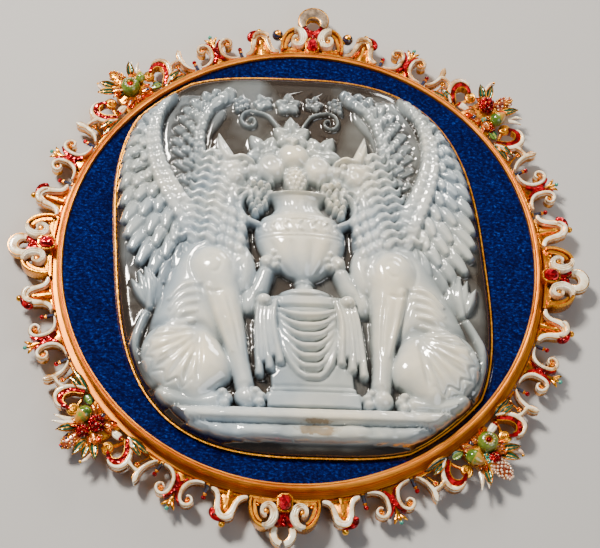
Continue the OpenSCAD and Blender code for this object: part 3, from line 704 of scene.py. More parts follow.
def drape(relief):
    # folds fan out from a gather at the hip to a scalloped hem
    gather, ends = cloth["gather"], cloth["ends"]
    hem = [ends[0]]
    for end, after in zip(ends, ends[1:]):
        hem += [toward(toward(end, after, 0.5), gather, 0.08), after]
    for k, end in enumerate(ends):
        near, sag = (gather[0] - 0.9 - 0.25 * k, gather[1] - 0.6 * k), 0.09 * (end[0] - gather[0])
        x, y = toward(near, end, 0.5)
        relief.line([[*near, 0.5], [x + 0.3 * sag, y + sag, 1.0], [*end, 0.9]],
                    cloth["valley"] * (1 if k % 2 else 0.75), cloth["wide"])
        if k % 2:
            (x, y), (farX, farY) = toward(near, end, 0.45), toward(near, end, 0.9)
            relief.line([[x, y + sag + 0.9], [farX, farY + 1.2]], 0.4, 0.4, steps=1)
    relief.line(hem, cloth["hem"], cloth["hemWide"], steps=4)


# Rows are x, y, half width and crest. Ovals are x, y, two half sizes, crest and turn. Cuts are rows of x, y.
beast = {
    "behind": [[-31, 2, 9, 1.3], [-34, 20, 10, 1.3], [-30, 36, 9, 1.2], [-22, 42, 5, 1.1]],
    "farArm": [[-20, 9, 2.2, 2.4], [-22.5, 17, 2, 2.5], [-24.4, 26, 1.7, 2.6], [-24.2, 35, 1.4, 2.5],
               [-21, 42.5, 1, 2.3], [-16.4, 46.5, 0.7, 2.1]],
    "farTips": [[-26.5, 12], [-30, 20], [-31.3, 27], [-31, 33], [-29.4, 38.5], [-26.5, 43.5],
                [-21.5, 47.2], [-15.5, 48.4]],
    "nearArm": [[-23.5, -1, 4.4, 5.2], [-28, 8, 4, 5], [-33, 17, 3.3, 4.8], [-36.2, 26, 2.6, 4.5],
                [-36.6, 34.5, 2, 4.2], [-34.2, 41.5, 1.4, 3.9], [-30.6, 46, 0.9, 3.5]],
    "nearTips": [[-36.5, -9], [-41.5, -4.5], [-44.3, 2], [-45.6, 10], [-46, 18], [-45.6, 26.5],
                 [-43.8, 33.5], [-40.8, 39.8], [-36.8, 44.8], [-32.2, 48]],
    "raisedLeg": [[-17, -8, 4.4, 3.6], [-14.6, -14.6, 3.6, 3.6], [-11.6, -10.8, 2.7, 4.2],
                  [-9.6, -6.2, 2.4, 4.6]],
    "tail": [[-37, -37.5, 2.4, 3], [-42, -34.8, 1.9, 2.9], [-44.2, -28, 1.6, 2.8],
             [-42.3, -21.5, 1.3, 2.8], [-39.6, -16, 1.1, 2.7]],
    "tuft": ((-2.6, 7), (2.4, 7.4), (-1.2, 9.4), (1.1, 9.8), (0, 10.6)),
    "trunk": [[-32, -30, 10.4, 4.6], [-29.6, -19, 9.2, 4.6], [-24.4, -8, 9.6, 5], [-20.8, 1.5, 7.6, 5],
              [-19.4, 9.5, 6, 4.9], [-17.8, 16.5, 4.9, 4.8], [-15.4, 21.8, 4.3, 4.8]],
    "chest": (-18.6, -4.5, 6.4, 8.2, 5.6, 12),
    "hindPaw": [[-37, -40.4, 3, 4], [-30, -41, 2.7, 4], [-24.5, -41.2, 3.1, 4.4]],
    "thigh": (-31.6, -30.6, 11.2, 9.8, 6.1, -24), "hip": (-34.5, -27.5, 5.4, 7, 6.5, -30),
    "hock": [[-25, -33, 5.6, 5.9], [-29.5, -38.2, 3.6, 5]],
    "foreleg": [[-22.5, -6, 6.2, 6.4], [-21.2, -14, 4.9, 6.1], [-19.3, -22.5, 3.5, 5.4],
                [-18, -31, 2.7, 4.9], [-17, -37.6, 2.6, 4.8]],
    "shoulder": (-22.8, -6.5, 6.2, 7.4, 6.6, 10),
    "muscle": [[-24.5, -12, 1.7, 6.3], [-22.4, -20, 1.2, 5.6], [-19.6, -29, 0.8, 5]],
    "legCuts": (([[-20.5, -13], [-18.6, -22], [-17.6, -30]], 0.5, 0.45),
                ([[-28.2, -4], [-25.6, -0.6], [-21.6, -0.4], [-18.6, -4], [-18.4, -8.6]], 0.55, 0.6),
                ([[-27.4, -10.6], [-24.4, -13.4], [-20.6, -13]], 0.45, 0.6),
                ([[-25.2, -5.4], [-23.2, -3.4], [-21, -5.2], [-22.2, -8], [-24.6, -8]], 0.3, 0.5)),
    "paws": ((-16.6, -40.4, 2.9, 5), (-13.4, -40.2, 1.5, 4.9), (-13.6, -41.9, 1.35, 4.9),
             (-14.4, -39, 1.35, 4.9), (-21.8, -40.9, 1.5, 4.6), (-22.3, -42.4, 1.35, 4.6),
             (-22.6, -39.5, 1.35, 4.6)),
    "raisedPaw": ((-8.6, -3.6, 2.4), (-7.3, -1.6, 1.2), (-6.4, -3.3, 1.2), (-6.9, -5, 1.2)),
    "locks": 11, "farWing": ((13, 11, 9), 1.7, 0.5, 2.0), "nearWing": ((17, 15, 12), 2.7, 0.8, 2.35),
    "skull": (-14.9, 23.2, 5.6, 4.7, 5.6, 10), "cheek": (-15.6, 20.6, 2.6, 2.2, 5.9, 20),
    "eye": (-13.1, 24.2, 1.15, 1, 6),
    "jaw": [[-11.5, 20.4, 1.7, 4.2], [-8.6, 19.6, 1.1, 3.9], [-7.4, 19.7, 0.6, 3.5]],
    "beak": [[-12, 23, 3.2, 5.4], [-9.2, 23, 2.4, 5], [-6.9, 21.7, 1.5, 4.6], [-6.1, 19.8, 0.7, 4]],
    "mouth": [[-13.8, 20.9], [-11, 21], [-8, 20.6]],
    "brow": [[-16.6, 25.9, 0.9, 6], [-13.6, 26.1, 1, 6.3], [-11, 24.9, 0.7, 6]],
    "ear": [[-17.2, 26.6, 1.9, 5.4], [-18.6, 30, 1.5, 5.2], [-19.4, 33.6, 0.4, 4.2]],
    "earCut": [[-17.6, 27.6], [-18.6, 30.2], [-19.2, 32.2]]}


def griffin(relief):
    b = beast
    relief.stroke(b["behind"], shape=8)
    wing(relief, b["farArm"], b["farTips"], *b["farWing"])
    wing(relief, b["nearArm"], b["nearTips"], *b["nearWing"])
    relief.stroke(b["raisedLeg"], blend=0.4)
    relief.stroke(b["tail"])
    for bend, reach in b["tuft"]:
        relief.stroke([[-39.8, -16.5, 1.1, 3], [-39.6 + bend, -16 + 0.5 * reach, 1.5, 3.2],
                       [-40.6 + 1.4 * bend, -16 + reach, 0.3, 2.4]], base=0.6, groove=0.35, spread=0.4)
    relief.stroke(b["trunk"], groove=0.9, spread=1)
    relief.oval(*b["chest"], base=2.2, groove=0, blend=2)
    for k in range(5):  # ribs
        relief.stroke([[-26.5 - 0.6 * k, -10.5 - 2.6 * k, 0.9, 5.3],
                       [-31 - 0.3 * k, -11.5 - 2.6 * k, 1.1, 5.1], [-34.6, -15 - 2.7 * k, 0.8, 4.2]],
                      base=3, groove=0, blend=0.9)
    for k in range(6):  # breast feathers
        for j in range(3):
            relief.oval(-14.6 - 2.3 * j - 0.5 * k, 8.5 - 3.1 * k + 1.2 * j, 1.5, 2.0, 5.6 - 0.1 * k,
                        20, base=3.4, groove=0.3, spread=0.4, blend=0.3)
    relief.stroke(b["hindPaw"])
    relief.oval(*b["thigh"], base=1.2, groove=0.8, spread=1.1, shape=2.3)
    relief.oval(*b["hip"], base=3, groove=0, blend=1.6)
    relief.stroke(b["hock"], base=1.2, groove=0, blend=2)
    drape(relief)
    relief.stroke(b["foreleg"], base=1.4, groove=0.6)
    relief.oval(*b["shoulder"], base=2.5, groove=0, blend=1.6)
    relief.stroke(b["muscle"], base=3, groove=0, blend=0.9)
    for rows, depth, width in b["legCuts"]:
        relief.line(rows, depth, width)
    for x, y, r, crest in b["paws"]:
        relief.oval(x, y, r * 1.17, r, crest, base=1.4, groove=0.35, spread=0.4)
    for x, y, r in b["raisedPaw"]:
        relief.oval(x, y, r * 1.1, r, 6.4, base=2, groove=0.4, spread=0.4)
    for f in np.linspace(0, 1, b["locks"]):  # locks down the neck, and a row in front of them
        x, y = between(-18.6, -26.4, f), between(27, 2.5, f)
        relief.stroke([[x, y, 1.6, 4.7], [x - 2.6, y + 1.4, 1.35, 4.4], [x - 4.8, y + 0.6, 1, 4],
                       [x - 6, y + 2.4, 0.35, 3.4]], base=0.8, groove=0.45, spread=0.45)
    for f in np.linspace(0, 1, b["locks"]):
        x, y = between(-16.2, -22.6, f), between(25.5, 1.5, f)
        relief.stroke([[x, y, 1.4, 5.3], [x - 1.8, y + 1.6, 1.3, 5.3], [x - 3.6, y + 1.2, 0.9, 4.9],
                       [x - 4.6, y + 2.6, 0.3, 4.2]], base=2.5, groove=0.4, spread=0.4)
    relief.oval(*b["skull"], base=1.5, groove=0.6)
    relief.stroke(b["jaw"], base=0.8, groove=0.3)
    relief.stroke(b["beak"], base=0.8, groove=0.35, blend=0.6)
    relief.line(b["mouth"], 0.7, 0.35)
    relief.oval(*b["cheek"], base=3, groove=0, blend=0.8)
    relief.stroke(b["brow"], base=3, groove=0.3, blend=0.4)
    relief.oval(*b["eye"], base=3.5, groove=0.6, spread=0.5)
    relief.stroke(b["ear"], base=1.5)
    relief.line(b["earCut"], 0.8, 0.5)


def archRise(inner, soft):
    # a rounded rise over this far in from an edge
    return np.sqrt(1 - (1 - np.clip(inner / soft, 0, 1)) ** 2)


vase = {"wall": 1.9, "belly": 0.4, "foot": 0.4, "lobes": 6.5, "flutes": 8, "friezeReach": 11.8,
        "profile": [[-13, 6.6], [-11.6, 6.6], [-10.9, 3.4], [-9.4, 2.4], [-8.2, 2.7], [-7, 5], [-3.6, 9],
                    [1, 11.4], [5.2, 11.9], [8.6, 10.6], [10.6, 7.6], [12.4, 6.2], [14.2, 6.7],
                    [15.4, 8.8], [16.4, 9.2]],
        "rings": ((-12.3, 6.6, 0.7, 0.5), (-8.9, 2.5, 0.55, 0.4), (3.3, 11.7, 0.5, 0.35),
                  (8, 10.9, 0.5, 0.35), (10.1, 8.2, 0.45, 0.3), (16, 9.4, 0.75, 0.5)),
        "handle": [[10.6, 7.2, 1.2, 4.2], [13.6, 8.8, 1.15, 4.2], [15.2, 12, 1.1, 4.3],
                   [14.2, 15.2, 1.05, 4.5], [11.6, 16.6, 1, 4.8], [9.6, 15.6, 0.95, 5]]}


def urn(relief):
    profile = smoothRows(vase["profile"], 6)
    part, gridX, gridY = relief.window(-15, 15, -14, 18)
    half = np.interp(gridY, profile[:, 0], profile[:, 1], left=0, right=0)
    share = gridX / np.maximum(half, 1e-3)
    phi = np.arcsin(np.clip(share, -1, 1))
    front = lambda wide: vase["wall"] + wide * vase["belly"]  # how far it stands out at this half width
    height = vase["foot"] + front(half) * np.sqrt(np.clip(1 - share ** 2, 0, 1))
    lobes = np.clip((2.2 - gridY) / 1.5, 0, 1) * np.clip((gridY + 7.6) / 1.5, 0, 1)
    flutes = np.clip((14 - gridY) / 0.8, 0, 1) * np.clip((gridY - 9.9) / 0.8, 0, 1)
    height += lobes * 0.55 * (np.abs(np.cos(phi * vase["lobes"])) - 0.6)
    height += flutes * 0.3 * (np.abs(np.sin(phi * vase["flutes"])) - 0.5)
    relief.lay(part, np.where(np.abs(share) < 1, height, -1), np.where(half > 0, np.abs(gridX) - half, 9),
               0.8, 0.9)
    for y, wide, r, lift in vase["rings"]:
        rows = [[wide * math.sin(a), y - 0.25 * math.cos(a), r,
                 vase["foot"] + front(wide) * max(0.02, math.cos(a)) + lift]
                for a in np.linspace(-1, 1, 15) * math.pi / 2]
        relief.stroke(rows, steps=1, base=0.3, groove=0.25, spread=0.35)
    for a in np.arange(-4, 5) * 0.3:  # running leaves on the frieze
        reach, ahead = vase["friezeReach"], math.cos(a)
        x, z = reach * math.sin(a), vase["foot"] + front(reach) * ahead
        for up in (-1, 1):
            relief.stroke([[x - 0.9 * ahead, 5.7 - up * 0.2, 0.3, z + 0.1],
                           [x, 5.7 + up, 0.62 * ahead + 0.15, z + 0.42],
                           [x + ahead, 5.7 + up * 1.5, 0.25, z + 0.1]],
                          base=z - 1.2, groove=0.15, spread=0.3)
    for relief.side in (-1, 1):
        relief.stroke(vase["handle"], base=0.4)
        relief.stroke(circled(13.9, 15, 2.1, np.linspace(-0.6, 3.6, 8), 0.75, 4.6), base=0.4, groove=0.3)


def vineLeaf(relief, x, y, size, turn, crest, base=0.8):
    lobes = [(size * length, math.radians(turn + relief.side * a))
             for a, length in ((0, 1.0), (58, 0.82), (-58, 0.82), (112, 0.6), (-112, 0.6))]
    for reach, a in lobes:
        end = circled(x, y, reach, [a])[0]
        relief.stroke([[x, y, size * 0.26, crest], [*toward((x, y), end, 0.55), size * 0.33, crest - 0.05],
                       [*end, size * 0.07, crest - 0.6]], base=base, groove=0.3, spread=0.45)
    for reach, a in lobes:
        relief.line([(x, y), *circled(x, y, 0.88 * reach, [a])], 0.4, 0.28, steps=1)


def grapes(relief, x, y, counts, r, turn, crest, base=1.0):
    a = math.radians(turn)
    places = []
    for j, n in enumerate(counts):
        for i in relief.side * (np.arange(n) - (n - 1) / 2):
            places.append((abs(i) / max(1, n / 2), i * r * 1.72, -j * r * 1.5))
    for off, u, v in sorted(places, key=lambda p: -p[0]):
        relief.oval(x + u * math.cos(a) - v * math.sin(a), y + u * math.sin(a) + v * math.cos(a), r, r,
                    crest - off ** 2, base=base, groove=0.35, spread=0.4)


def cone(relief, x, y, wide, high, crest):
    # small scales in staggered rows over an egg
    relief.oval(x, y, wide, high, crest, base=1.2, groove=0.6)
    for j in range(6):
        for i in range(5):
            u, v = (i - 2 + 0.5 * (j % 2)) * 1.25, (j - 2.5) * 1.15
            off = (u / wide) ** 2 + (v / high) ** 2
            if off < 0.86:
                z = 1.2 + (crest - 1.2) * math.sqrt(max(0.05, 1 - off))
                relief.oval(x + u, y + v, 0.66, 0.72, z + 0.35, base=z - 0.9, groove=0.28, spread=0.3)


heap = {"leaves": ((-11.2, 20.2, 6, 168), (11.4, 20.2, 6, 12), (-6.8, 28.6, 6.6, 128), (7, 28.6, 6.6, 52),
                   (0.2, 33.5, 6.4, 90)), "leafCrest": 3.3,
        "fruits": ((-5.6, 24.4, 4.3, 5.2), (5.9, 24, 4.4, 5.2), (0.1, 27.6, 4.5, 5.4)),
        "dimples": ((-5.9, 24.9), (6.2, 24.6)), "cone": (0.1, 20.6, 3.3, 4.2, 5.6),
        "grapes": (9.25, 18.4, (3, 4, 3, 3, 2, 1), 1.12, 14, 6.2, 1.4)}


def fruit(relief):
    for x, y, size, turn in heap["leaves"]:
        vineLeaf(relief, x, y, size, turn, heap["leafCrest"])
    for x, y, r, crest in heap["fruits"]:
        relief.oval(x, y, r, r * 0.97, crest, base=1.2, groove=0.6)
    for a in range(-2, 3):  # the crown of the middle fruit
        relief.stroke([[0.1, 31.2, 0.6, 4.6], [0.1 + a * 0.75, 33.4 - abs(a) * 0.35, 0.45, 4.2]], steps=1,
                      base=1.5, groove=0.25, spread=0.3)
    for x, y in heap["dimples"]:
        relief.oval(x, y, 0.9, 0.8, 4.4, base=4.2, groove=0.9, spread=0.9)
    cone(relief, *heap["cone"])
    for relief.side in (-1, 1):
        grapes(relief, *heap["grapes"])


# each course is its foot, top, height, rounding, groove and roughness; each lump is an oval
ledge = {"courses": ((-51.4, -46.6, 3.4, 1.6, 0.4, 1.0), (-47.2, -43, 5.2, 1.4, 0.5, 0.5)), "inset": 2.6,
         "lumps": ((-30, -48.6, 5, 1.8, 3.9), (-14, -49.2, 6, 1.6, 4), (9, -48.8, 5, 1.7, 3.8),
                   (25, -49, 6, 1.7, 4)), "cut": [[-36, -44.4], [36, -44.4]]}


def plinth(relief):
    part, gridX, gridY = relief.window(-50, 50, -56, -41)
    n = stone["squareness"]
    limit = stone["halfWidth"] * np.clip(1 - np.abs(gridY / stone["halfHeight"]) ** n, 0, 1) ** (1 / n)
    rough = 0.14 * np.sin(gridX * 0.9 + 1.3 * np.sin(gridY * 0.8)) + 0.1 * np.sin(gridX * 2.1 + gridY)
    for y0, y1, z, soft, groove, uneven in ledge["courses"]:
        inner = np.minimum(np.minimum(gridY - y0, y1 - gridY), limit - ledge["inset"] - np.abs(gridX))
        rise = z * archRise(inner, soft)
        relief.lay(part, np.where(inner > 0, rise + uneven * rough * (rise > 0.5), -1), -inner, groove)
    relief.line(ledge["cut"], 0.45, 0.3, steps=1)
    for lump in ledge["lumps"]:
        relief.oval(*lump, base=2, groove=0, blend=1.2)


# each block is its half width, foot, top and height; a swag is its sag, crest, half width and reach
stand = {"blocks": ((10.4, -43, -13, 2.9), (11.8, -43, -38.6, 3.7), (11, -38.8, -37.4, 3.3),
                    (11.2, -17.6, -15.6, 3.5), (12.4, -15.9, -12.9, 4.4)),
         "swags": 7, "topSwag": (3, 5, 1.15, 10.4), "lowSwag": (19.4, 4.2, 1, 9.4), "swagTop": -15.4,
         "falls": 5, "knot": (10.6, -14.6, 2, 1.7, 6)}


def pedestal(relief):
    part, gridX, gridY = relief.window(-16, 16, -44, -12)
    for half, y0, y1, z in stand["blocks"]:
        inner = np.minimum(np.minimum(gridY - y0, y1 - gridY), half - np.abs(gridX))
        rise = (z - 0.006 * gridX * gridX) * (0.55 + 0.45 * archRise(inner, 0.6))
        relief.lay(part, np.where(inner > 0, rise, -1), -inner, 0.35, 0.5)
    for k, f in enumerate(np.linspace(0, 1, stand["swags"])):  # cloth swags, and a fall at each side
        sag, z, wide, reach = toward(stand["topSwag"], stand["lowSwag"], f)
        rows = [[s * reach, stand["swagTop"] - sag * (1 - abs(s) ** 2.2) - 0.35 * k * abs(s),
                 wide * (1 - 0.25 * abs(s)), z - 0.5 * abs(s)] for s in np.linspace(-1, 1, 13)]
        relief.stroke(rows, steps=1, base=2.4, groove=0.45, spread=0.55)
    for relief.side in (-1, 1):
        for k in range(stand["falls"]):
            x, bottom = 11.8 - k, -34 + (k % 2) * 3 + 0.8 * k
            relief.stroke([[x, -14.6, 0.8, 5], [x + 0.9, -21, 1, 4.9],
                           [x + 1.3 - 0.35 * k, bottom, 1.2, 4.4]], base=2, groove=0.6, spread=0.5)
        relief.oval(*stand["knot"], base=3.5)


# the spiral's ends are its turn in radians, reach and half width
vine = {"stem": [[3, 37, 0.6, 1.9], [6, 40.9, 0.6, 1.9]], "middle": (10.6, 39.2), "outside": (2.0, 3.1, 0.62),
        "inside": (-5.2, 0.5, 0.42), "crest": 1.8, "leaf": (6.6, 44.4, 3.4, 70, 2, 0.5),
        "grapes": (12, 45.8, (2, 3, 2, 1), 0.85, 30, 2.2, 0.4), "topLeaf": (0, 43.6, 4.4, 90, 2.4, 0.6)}


def tendrils(relief):
    for relief.side in (-1, 1):
        rows = list(vine["stem"])
        for f in np.linspace(0, 1, 14):
            turn, reach, thick = toward(vine["outside"], vine["inside"], f)
            rows += circled(*vine["middle"], reach, [turn], thick, vine["crest"])
        relief.stroke(rows, base=0.2, groove=0)
        vineLeaf(relief, *vine["leaf"])
        grapes(relief, *vine["grapes"])
    vineLeaf(relief, *vine["topLeaf"])


def carve():
    relief = Relief()
    plinth(relief)
    for relief.side in (1, -1):
        griffin(relief)
    relief.side = 1
    for carveForm in (pedestal, tendrils, fruit, urn):
        carveForm(relief)
    near = np.pad(relief.h, 1, mode="edge")  # the last polish
    relief.h = (4 * near[1:-1, 1:-1] + near[:-2, 1:-1] + near[2:, 1:-1]
                + near[1:-1, :-2] + near[1:-1, 2:]) / 8
    return relief


def stoneLevels(count):
    # evenly spread, but closer together near the edge
    rings, inside = stone["edgeRings"], 1 - stone["edgeShare"]
    outer = inside + stone["edgeShare"] * np.sin(np.linspace(0, 1, rings + 1)[1:] * math.pi / 2)
    return np.r_[-outer[::-1], np.linspace(-inside, inside, count - 2 * rings + 1), outer]


def stonePile(relief):
    u, v = np.meshgrid(stoneLevels(stone["across"]), stoneLevels(stone["up"]))
    reach = np.maximum(np.maximum(np.abs(u), np.abs(v)), 1e-9)
    x, y = (edge * reach for edge in stoneEdge(u / reach, v / reach))
    i = np.clip((x - relief.lowX) / relief.cell, 0, len(relief.x) - 1.001)
    j = np.clip((y - relief.lowY) / relief.cell, 0, len(relief.y) - 1.001)
    i0, j0 = i.astype(int), j.astype(int)
    low, high = (between(relief.h[row, i0], relief.h[row, i0 + 1], i - i0) for row in (j0, j0 + 1))
    rise = between(low, high, j - j0)
    inward = np.clip((1 - reach) / stone["edgeShare"], 0, 1)
    bevel = between(stone["girdleZ"], stone["groundZ"], archRise(inward, 1))
    z = bevel + stone["reliefScale"] * rise * np.clip(inward * 1.6, 0, 1) ** 0.7
    top = np.stack([*leaning(x, y), z], -1).reshape(-1, 3)
    quads, ring = gridFaces(*x.shape)
    n, first = len(ring), len(top)
    low = top[ring] * (1, 1, 0) + (0, 0, stone["baseZ"])
    k = np.arange(n)
    after = np.roll(k, -1)
    skirt = np.stack([ring, first + k, first + after, ring[after]], -1)
    pile = newPile()
    faces = quads.tolist() + skirt.tolist() + [list(range(first + n - 1, first - 1, -1))]
    addShell(pile, np.vstack([top, low]), faces, "onyx")
    return pile


def makeStone():
    mesh = meshOf("cameoStone", stonePile(carve()), 60, False)
    piece = showPiece("cameoStone", mesh, "cameo")
    thinner = piece.modifiers.new("thinner", "DECIMATE")
    thinner.ratio = stone["faceLimit"] / (2 * len(mesh.polygons))
    piece.data = finished(piece)
    piece.modifiers.clear()
    piece.data.name = "cameoStone"
    piece.data.polygons.foreach_set("use_smooth", [True] * len(piece.data.polygons))
    print("stone carved with", len(piece.data.polygons), "faces")


makeStone()

# Gold frame and the blue plate

# the profile's rows are radius and height, from the middle of the back round to the case's floor
rim = {"inner": 61.6, "bezel": 0.5, "bezelLow": 0.5, "bezelHigh": 7.9, "gap": 0.05, "around": 360,
       "filed": 0.0004, "filedFrom": 61.5,
       "profile": [(0, 0), (30, 0), (58, 0), (62.5, 0), (62.8, 0.12), (62.9, 0.4), (62.9, 2.8),
                   (63.1, 3.0), (64.3, 3.0), (64.55, 3.15), (64.6, 3.5), (64.6, 3.9), (64.5, 4.14),
                   (64.25, 4.2), (63.3, 4.2), (62.85, 4.25), (62.7, 4.5), (62.7, 6.2), (62.85, 6.35),
                   (63.15, 6.42), (63.28, 6.6), (63.3, 6.9), (63.26, 7.12), (63.08, 7.26), (63.0, 7.36),
                   (63.04, 7.5), (63.18, 7.62), (63.22, 7.8), (63.14, 8.1), (62.98, 8.3), (62.78, 8.39),
                   (62.62, 8.3), (62.5, 8.12), (62.38, 8.08), (62.26, 8.14), (62.16, 8.3), (62.0, 8.39),
                   (61.82, 8.38), (61.68, 8.28), (61.6, 8.1), (61.6, 5.95), (61.5, 5.9), (61.05, 5.9),
                   (61.0, 5.8), (61.0, 1.0), (40, 1.0), (0, 1.0)]}


def makeFrame():
    pile = newPile()
    verts, faces = latheShell(rim["profile"], rim["around"])
    a, r = np.arctan2(verts[:, 1], verts[:, 0]), np.hypot(verts[:, 0], verts[:, 1])
    # filed by hand, never quite even
    wave = 1 + np.sin(7 * a) * np.sin(13 * a + verts[:, 2])
    verts[:, :2] *= (1 - rim["filed"] * wave * (r > rim["filedFrom"]))[:, None]
    addShell(pile, verts, faces, "spunGold")
    half = rim["bezel"] / 2
    outline = [(x, y, half) for x, y in stoneOutline(rim["gap"] + half)]
    band(pile, [outline], rim["bezelLow"], rim["bezelHigh"], closed=True, steps=0)
    showPiece("goldFrame", meshOf("goldFrame", pile, 30), "frame")


plate = {"high": 7.5, "low": 5.95, "dip": 0.75, "dipReach": 2.2, "across": 16, "around": 720}


def makePlate():
    inner = stoneOutline(2 * rim["gap"] + rim["bezel"], plate["around"])
    outer = inner / np.linalg.norm(inner, axis=1)[:, None] * (rim["inner"] - rim["gap"])
    wide = np.linalg.norm(outer - inner, axis=1)
    rings = []
    for t in (1 - np.cos(np.linspace(0, 1, plate["across"] + 1) * math.pi)) / 2:
        rings.append(np.c_[between(inner, outer, t),
                           plate["high"] - plate["dip"] * np.exp(-t * wide / plate["dipReach"])])
    rings += [np.c_[edge, np.full(len(edge), plate["low"])] for edge in (outer, inner)]
    pile = newPile()
    addRings(pile, rings, "cobaltEnamel", True)
    showPiece("bluePlate", meshOf("bluePlate", pile, 50), "enamel_plate")


makeFrame()
makePlate()
print("frame and blue plate made")

# Ornaments round the rim. Each is drawn at the top of the rim: x runs along it, y away from its middle.

# the turns are degrees from a side's middle
ornament = {"low": 2.2, "high": 5.6, "middle": 3.9, "seat": 64.65, "uneven": 0.05,
            "turns": {"bracket": 12.1, "scroll": 22.8, "crest": 35}, "pinTurns": (28.45, 17.1)}


def tube(pile, rows, finish, sides=10, flat=1.0, steps=5):
    # a rod along rows of x, y, z, radius; flat squeezes its height
    c = smoothRows(rows, steps)
    p, r = c[:, :3], c[:, 3]
    along = np.gradient(p, axis=0)
    along /= np.linalg.norm(along, axis=1)[:, None]
    side = np.cross((0.05, 0.03, 1), along[0])
    a = np.arange(sides)[:, None] * 2 * math.pi / sides
    rings = []
    for at, ahead, radius in zip(p, along, r):
        side = side - side.dot(ahead) * ahead
        side /= np.linalg.norm(side)
        rings.append(at + radius * (np.cos(a) * side + flat * np.sin(a) * np.cross(ahead, side)))
    addRings(pile, rings, finish)


def turned(pile, profile, size, place, finish, around=20, turn=0, tilt=0, lean=0):
    # a lathe shape; finish is one name or one for each step of the profile
    verts, faces = latheShell([(r * size, z * size) for r, z in profile], around)
    if not isinstance(finish, str):
        finish = np.repeat(finish, around).tolist()
    addShell(pile, aimed(verts, place, turn, tilt, lean), faces, finish)


def inset(outline, by):
    p = np.array(outline, float)
    ahead, behind = np.roll(p, -1, 0) - p, p - np.roll(p, 1, 0)
    ahead /= np.linalg.norm(ahead, axis=1)[:, None]
    behind /= np.linalg.norm(behind, axis=1)[:, None]
    turn = 1 if np.sum(p[:, 0] * np.roll(p[:, 1], -1) - np.roll(p[:, 0], -1) * p[:, 1]) > 0 else -1
    inward = turn * np.c_[-(ahead + behind)[:, 1], (ahead + behind)[:, 0]]
    inward /= np.maximum(np.linalg.norm(inward, axis=1), 0.3)[:, None]
    return p + inward * by


def cutPlate(pile, outline, low, high, finish, edge=0.15):
    # a flat plate with its edges rounded over
    rings = ((edge, low), (0, low + edge), (0, high - edge), (0.4 * edge, high - 0.25 * edge), (edge, high))
    addRings(pile, [np.c_[inset(outline, by), np.full(len(outline), z)] for by, z in rings], finish)


def bothSides(rows):
    return [rows, [[-x, *more] for x, *more in rows]]


def wholeOutline(half):
    mirrored = [[-x, y] for x, y in half if x]
    return [mirrored[0], *half, *mirrored[:0:-1]]


def arcRows(radius, first, last, half, count=9):
    # along the rim: turns are in degrees from its top, clockwise
    return [[radius * math.sin(a), radius * math.cos(a), half]
            for a in np.radians(np.linspace(first, last, count))]


leafShape = {"across": (-1, -0.82, -0.7, -0.4, -0.1, 0.1, 0.4, 0.7, 0.82, 1), "along": 14, "cup": 0.35,
             "edge": 0.75, "edgeRise": 0.1, "rib": 0.2, "ribRise": 0.08, "bow": 0.35, "vein": 0.05,
             "goldStrips": (0, 1, 4, 7, 8)}


def leaf(pile, place, length, half, turn, finish=("leafGreen", "gold"), tilt=0, thick=0.4):
    # a pointed leaf with raised gold edges and a gold rib
    form = leafShape
    s, t = np.meshgrid(np.linspace(0, 1, form["along"]), form["across"], indexing="ij")
    wide = half * (0.16 + np.sin(math.pi * s ** 0.75) * 0.9) * np.clip((1.001 - s) * 6, 0.02, 1)
    off = np.abs(t)
    rise = form["cup"] * off ** 1.6 + form["bow"] * np.sin(math.pi * s)
    rise += form["edgeRise"] * (off > form["edge"]) + form["ribRise"] * (off < form["rib"])
    rise -= form["vein"] * np.cos(s * 26) * (off < form["edge"])
    sides = [np.stack([s * length, t * wide, rise * share + lift], -1).reshape(-1, 3)
             for share, lift in ((1, thick / 2), (0.8, -thick / 2))]
    quads, ring = gridFaces(*s.shape)
    top = quads[:, (0, 3, 2, 1)]
    strips, after = s.shape[1] - 1, np.roll(ring, -1)
    green = [finish[k % strips in form["goldStrips"]] for k in range(len(top))]
    faces = [*top.tolist(), *(top[:, ::-1] + s.size).tolist(),
             *np.stack([ring, after, after + s.size, ring + s.size], -1).tolist()]
    addShell(pile, aimed(np.vstack(sides), place, turn, tilt), faces,
             green + [finish[1]] * (len(faces) - len(top)))


def snail(pile, x, y, z, r, turn=0, way=1):
    # a gold shell: a spiral rod that rises to its middle, on a low dome
    rows = []
    for t in np.linspace(0, 1, 26):
        a, reach = math.radians(turn) + way * t * 2.4 * 2 * math.pi, r * between(0.78, 0.08, t)
        rows.append([x + reach * math.cos(a), y + reach * math.sin(a), z + r * 0.6 * t,
                     r * between(0.3, 0.17, t)])
    tube(pile, rows, "paleGold", 9, 1.0, 3)
    turned(pile, [(0, -0.75), (0.4, -0.7), (0.75, -0.35), (0.82, 0), (0.6, 0.3), (0.3, 0.5), (0, 0.55)], r,
           (x, y, z), "gold", 18)


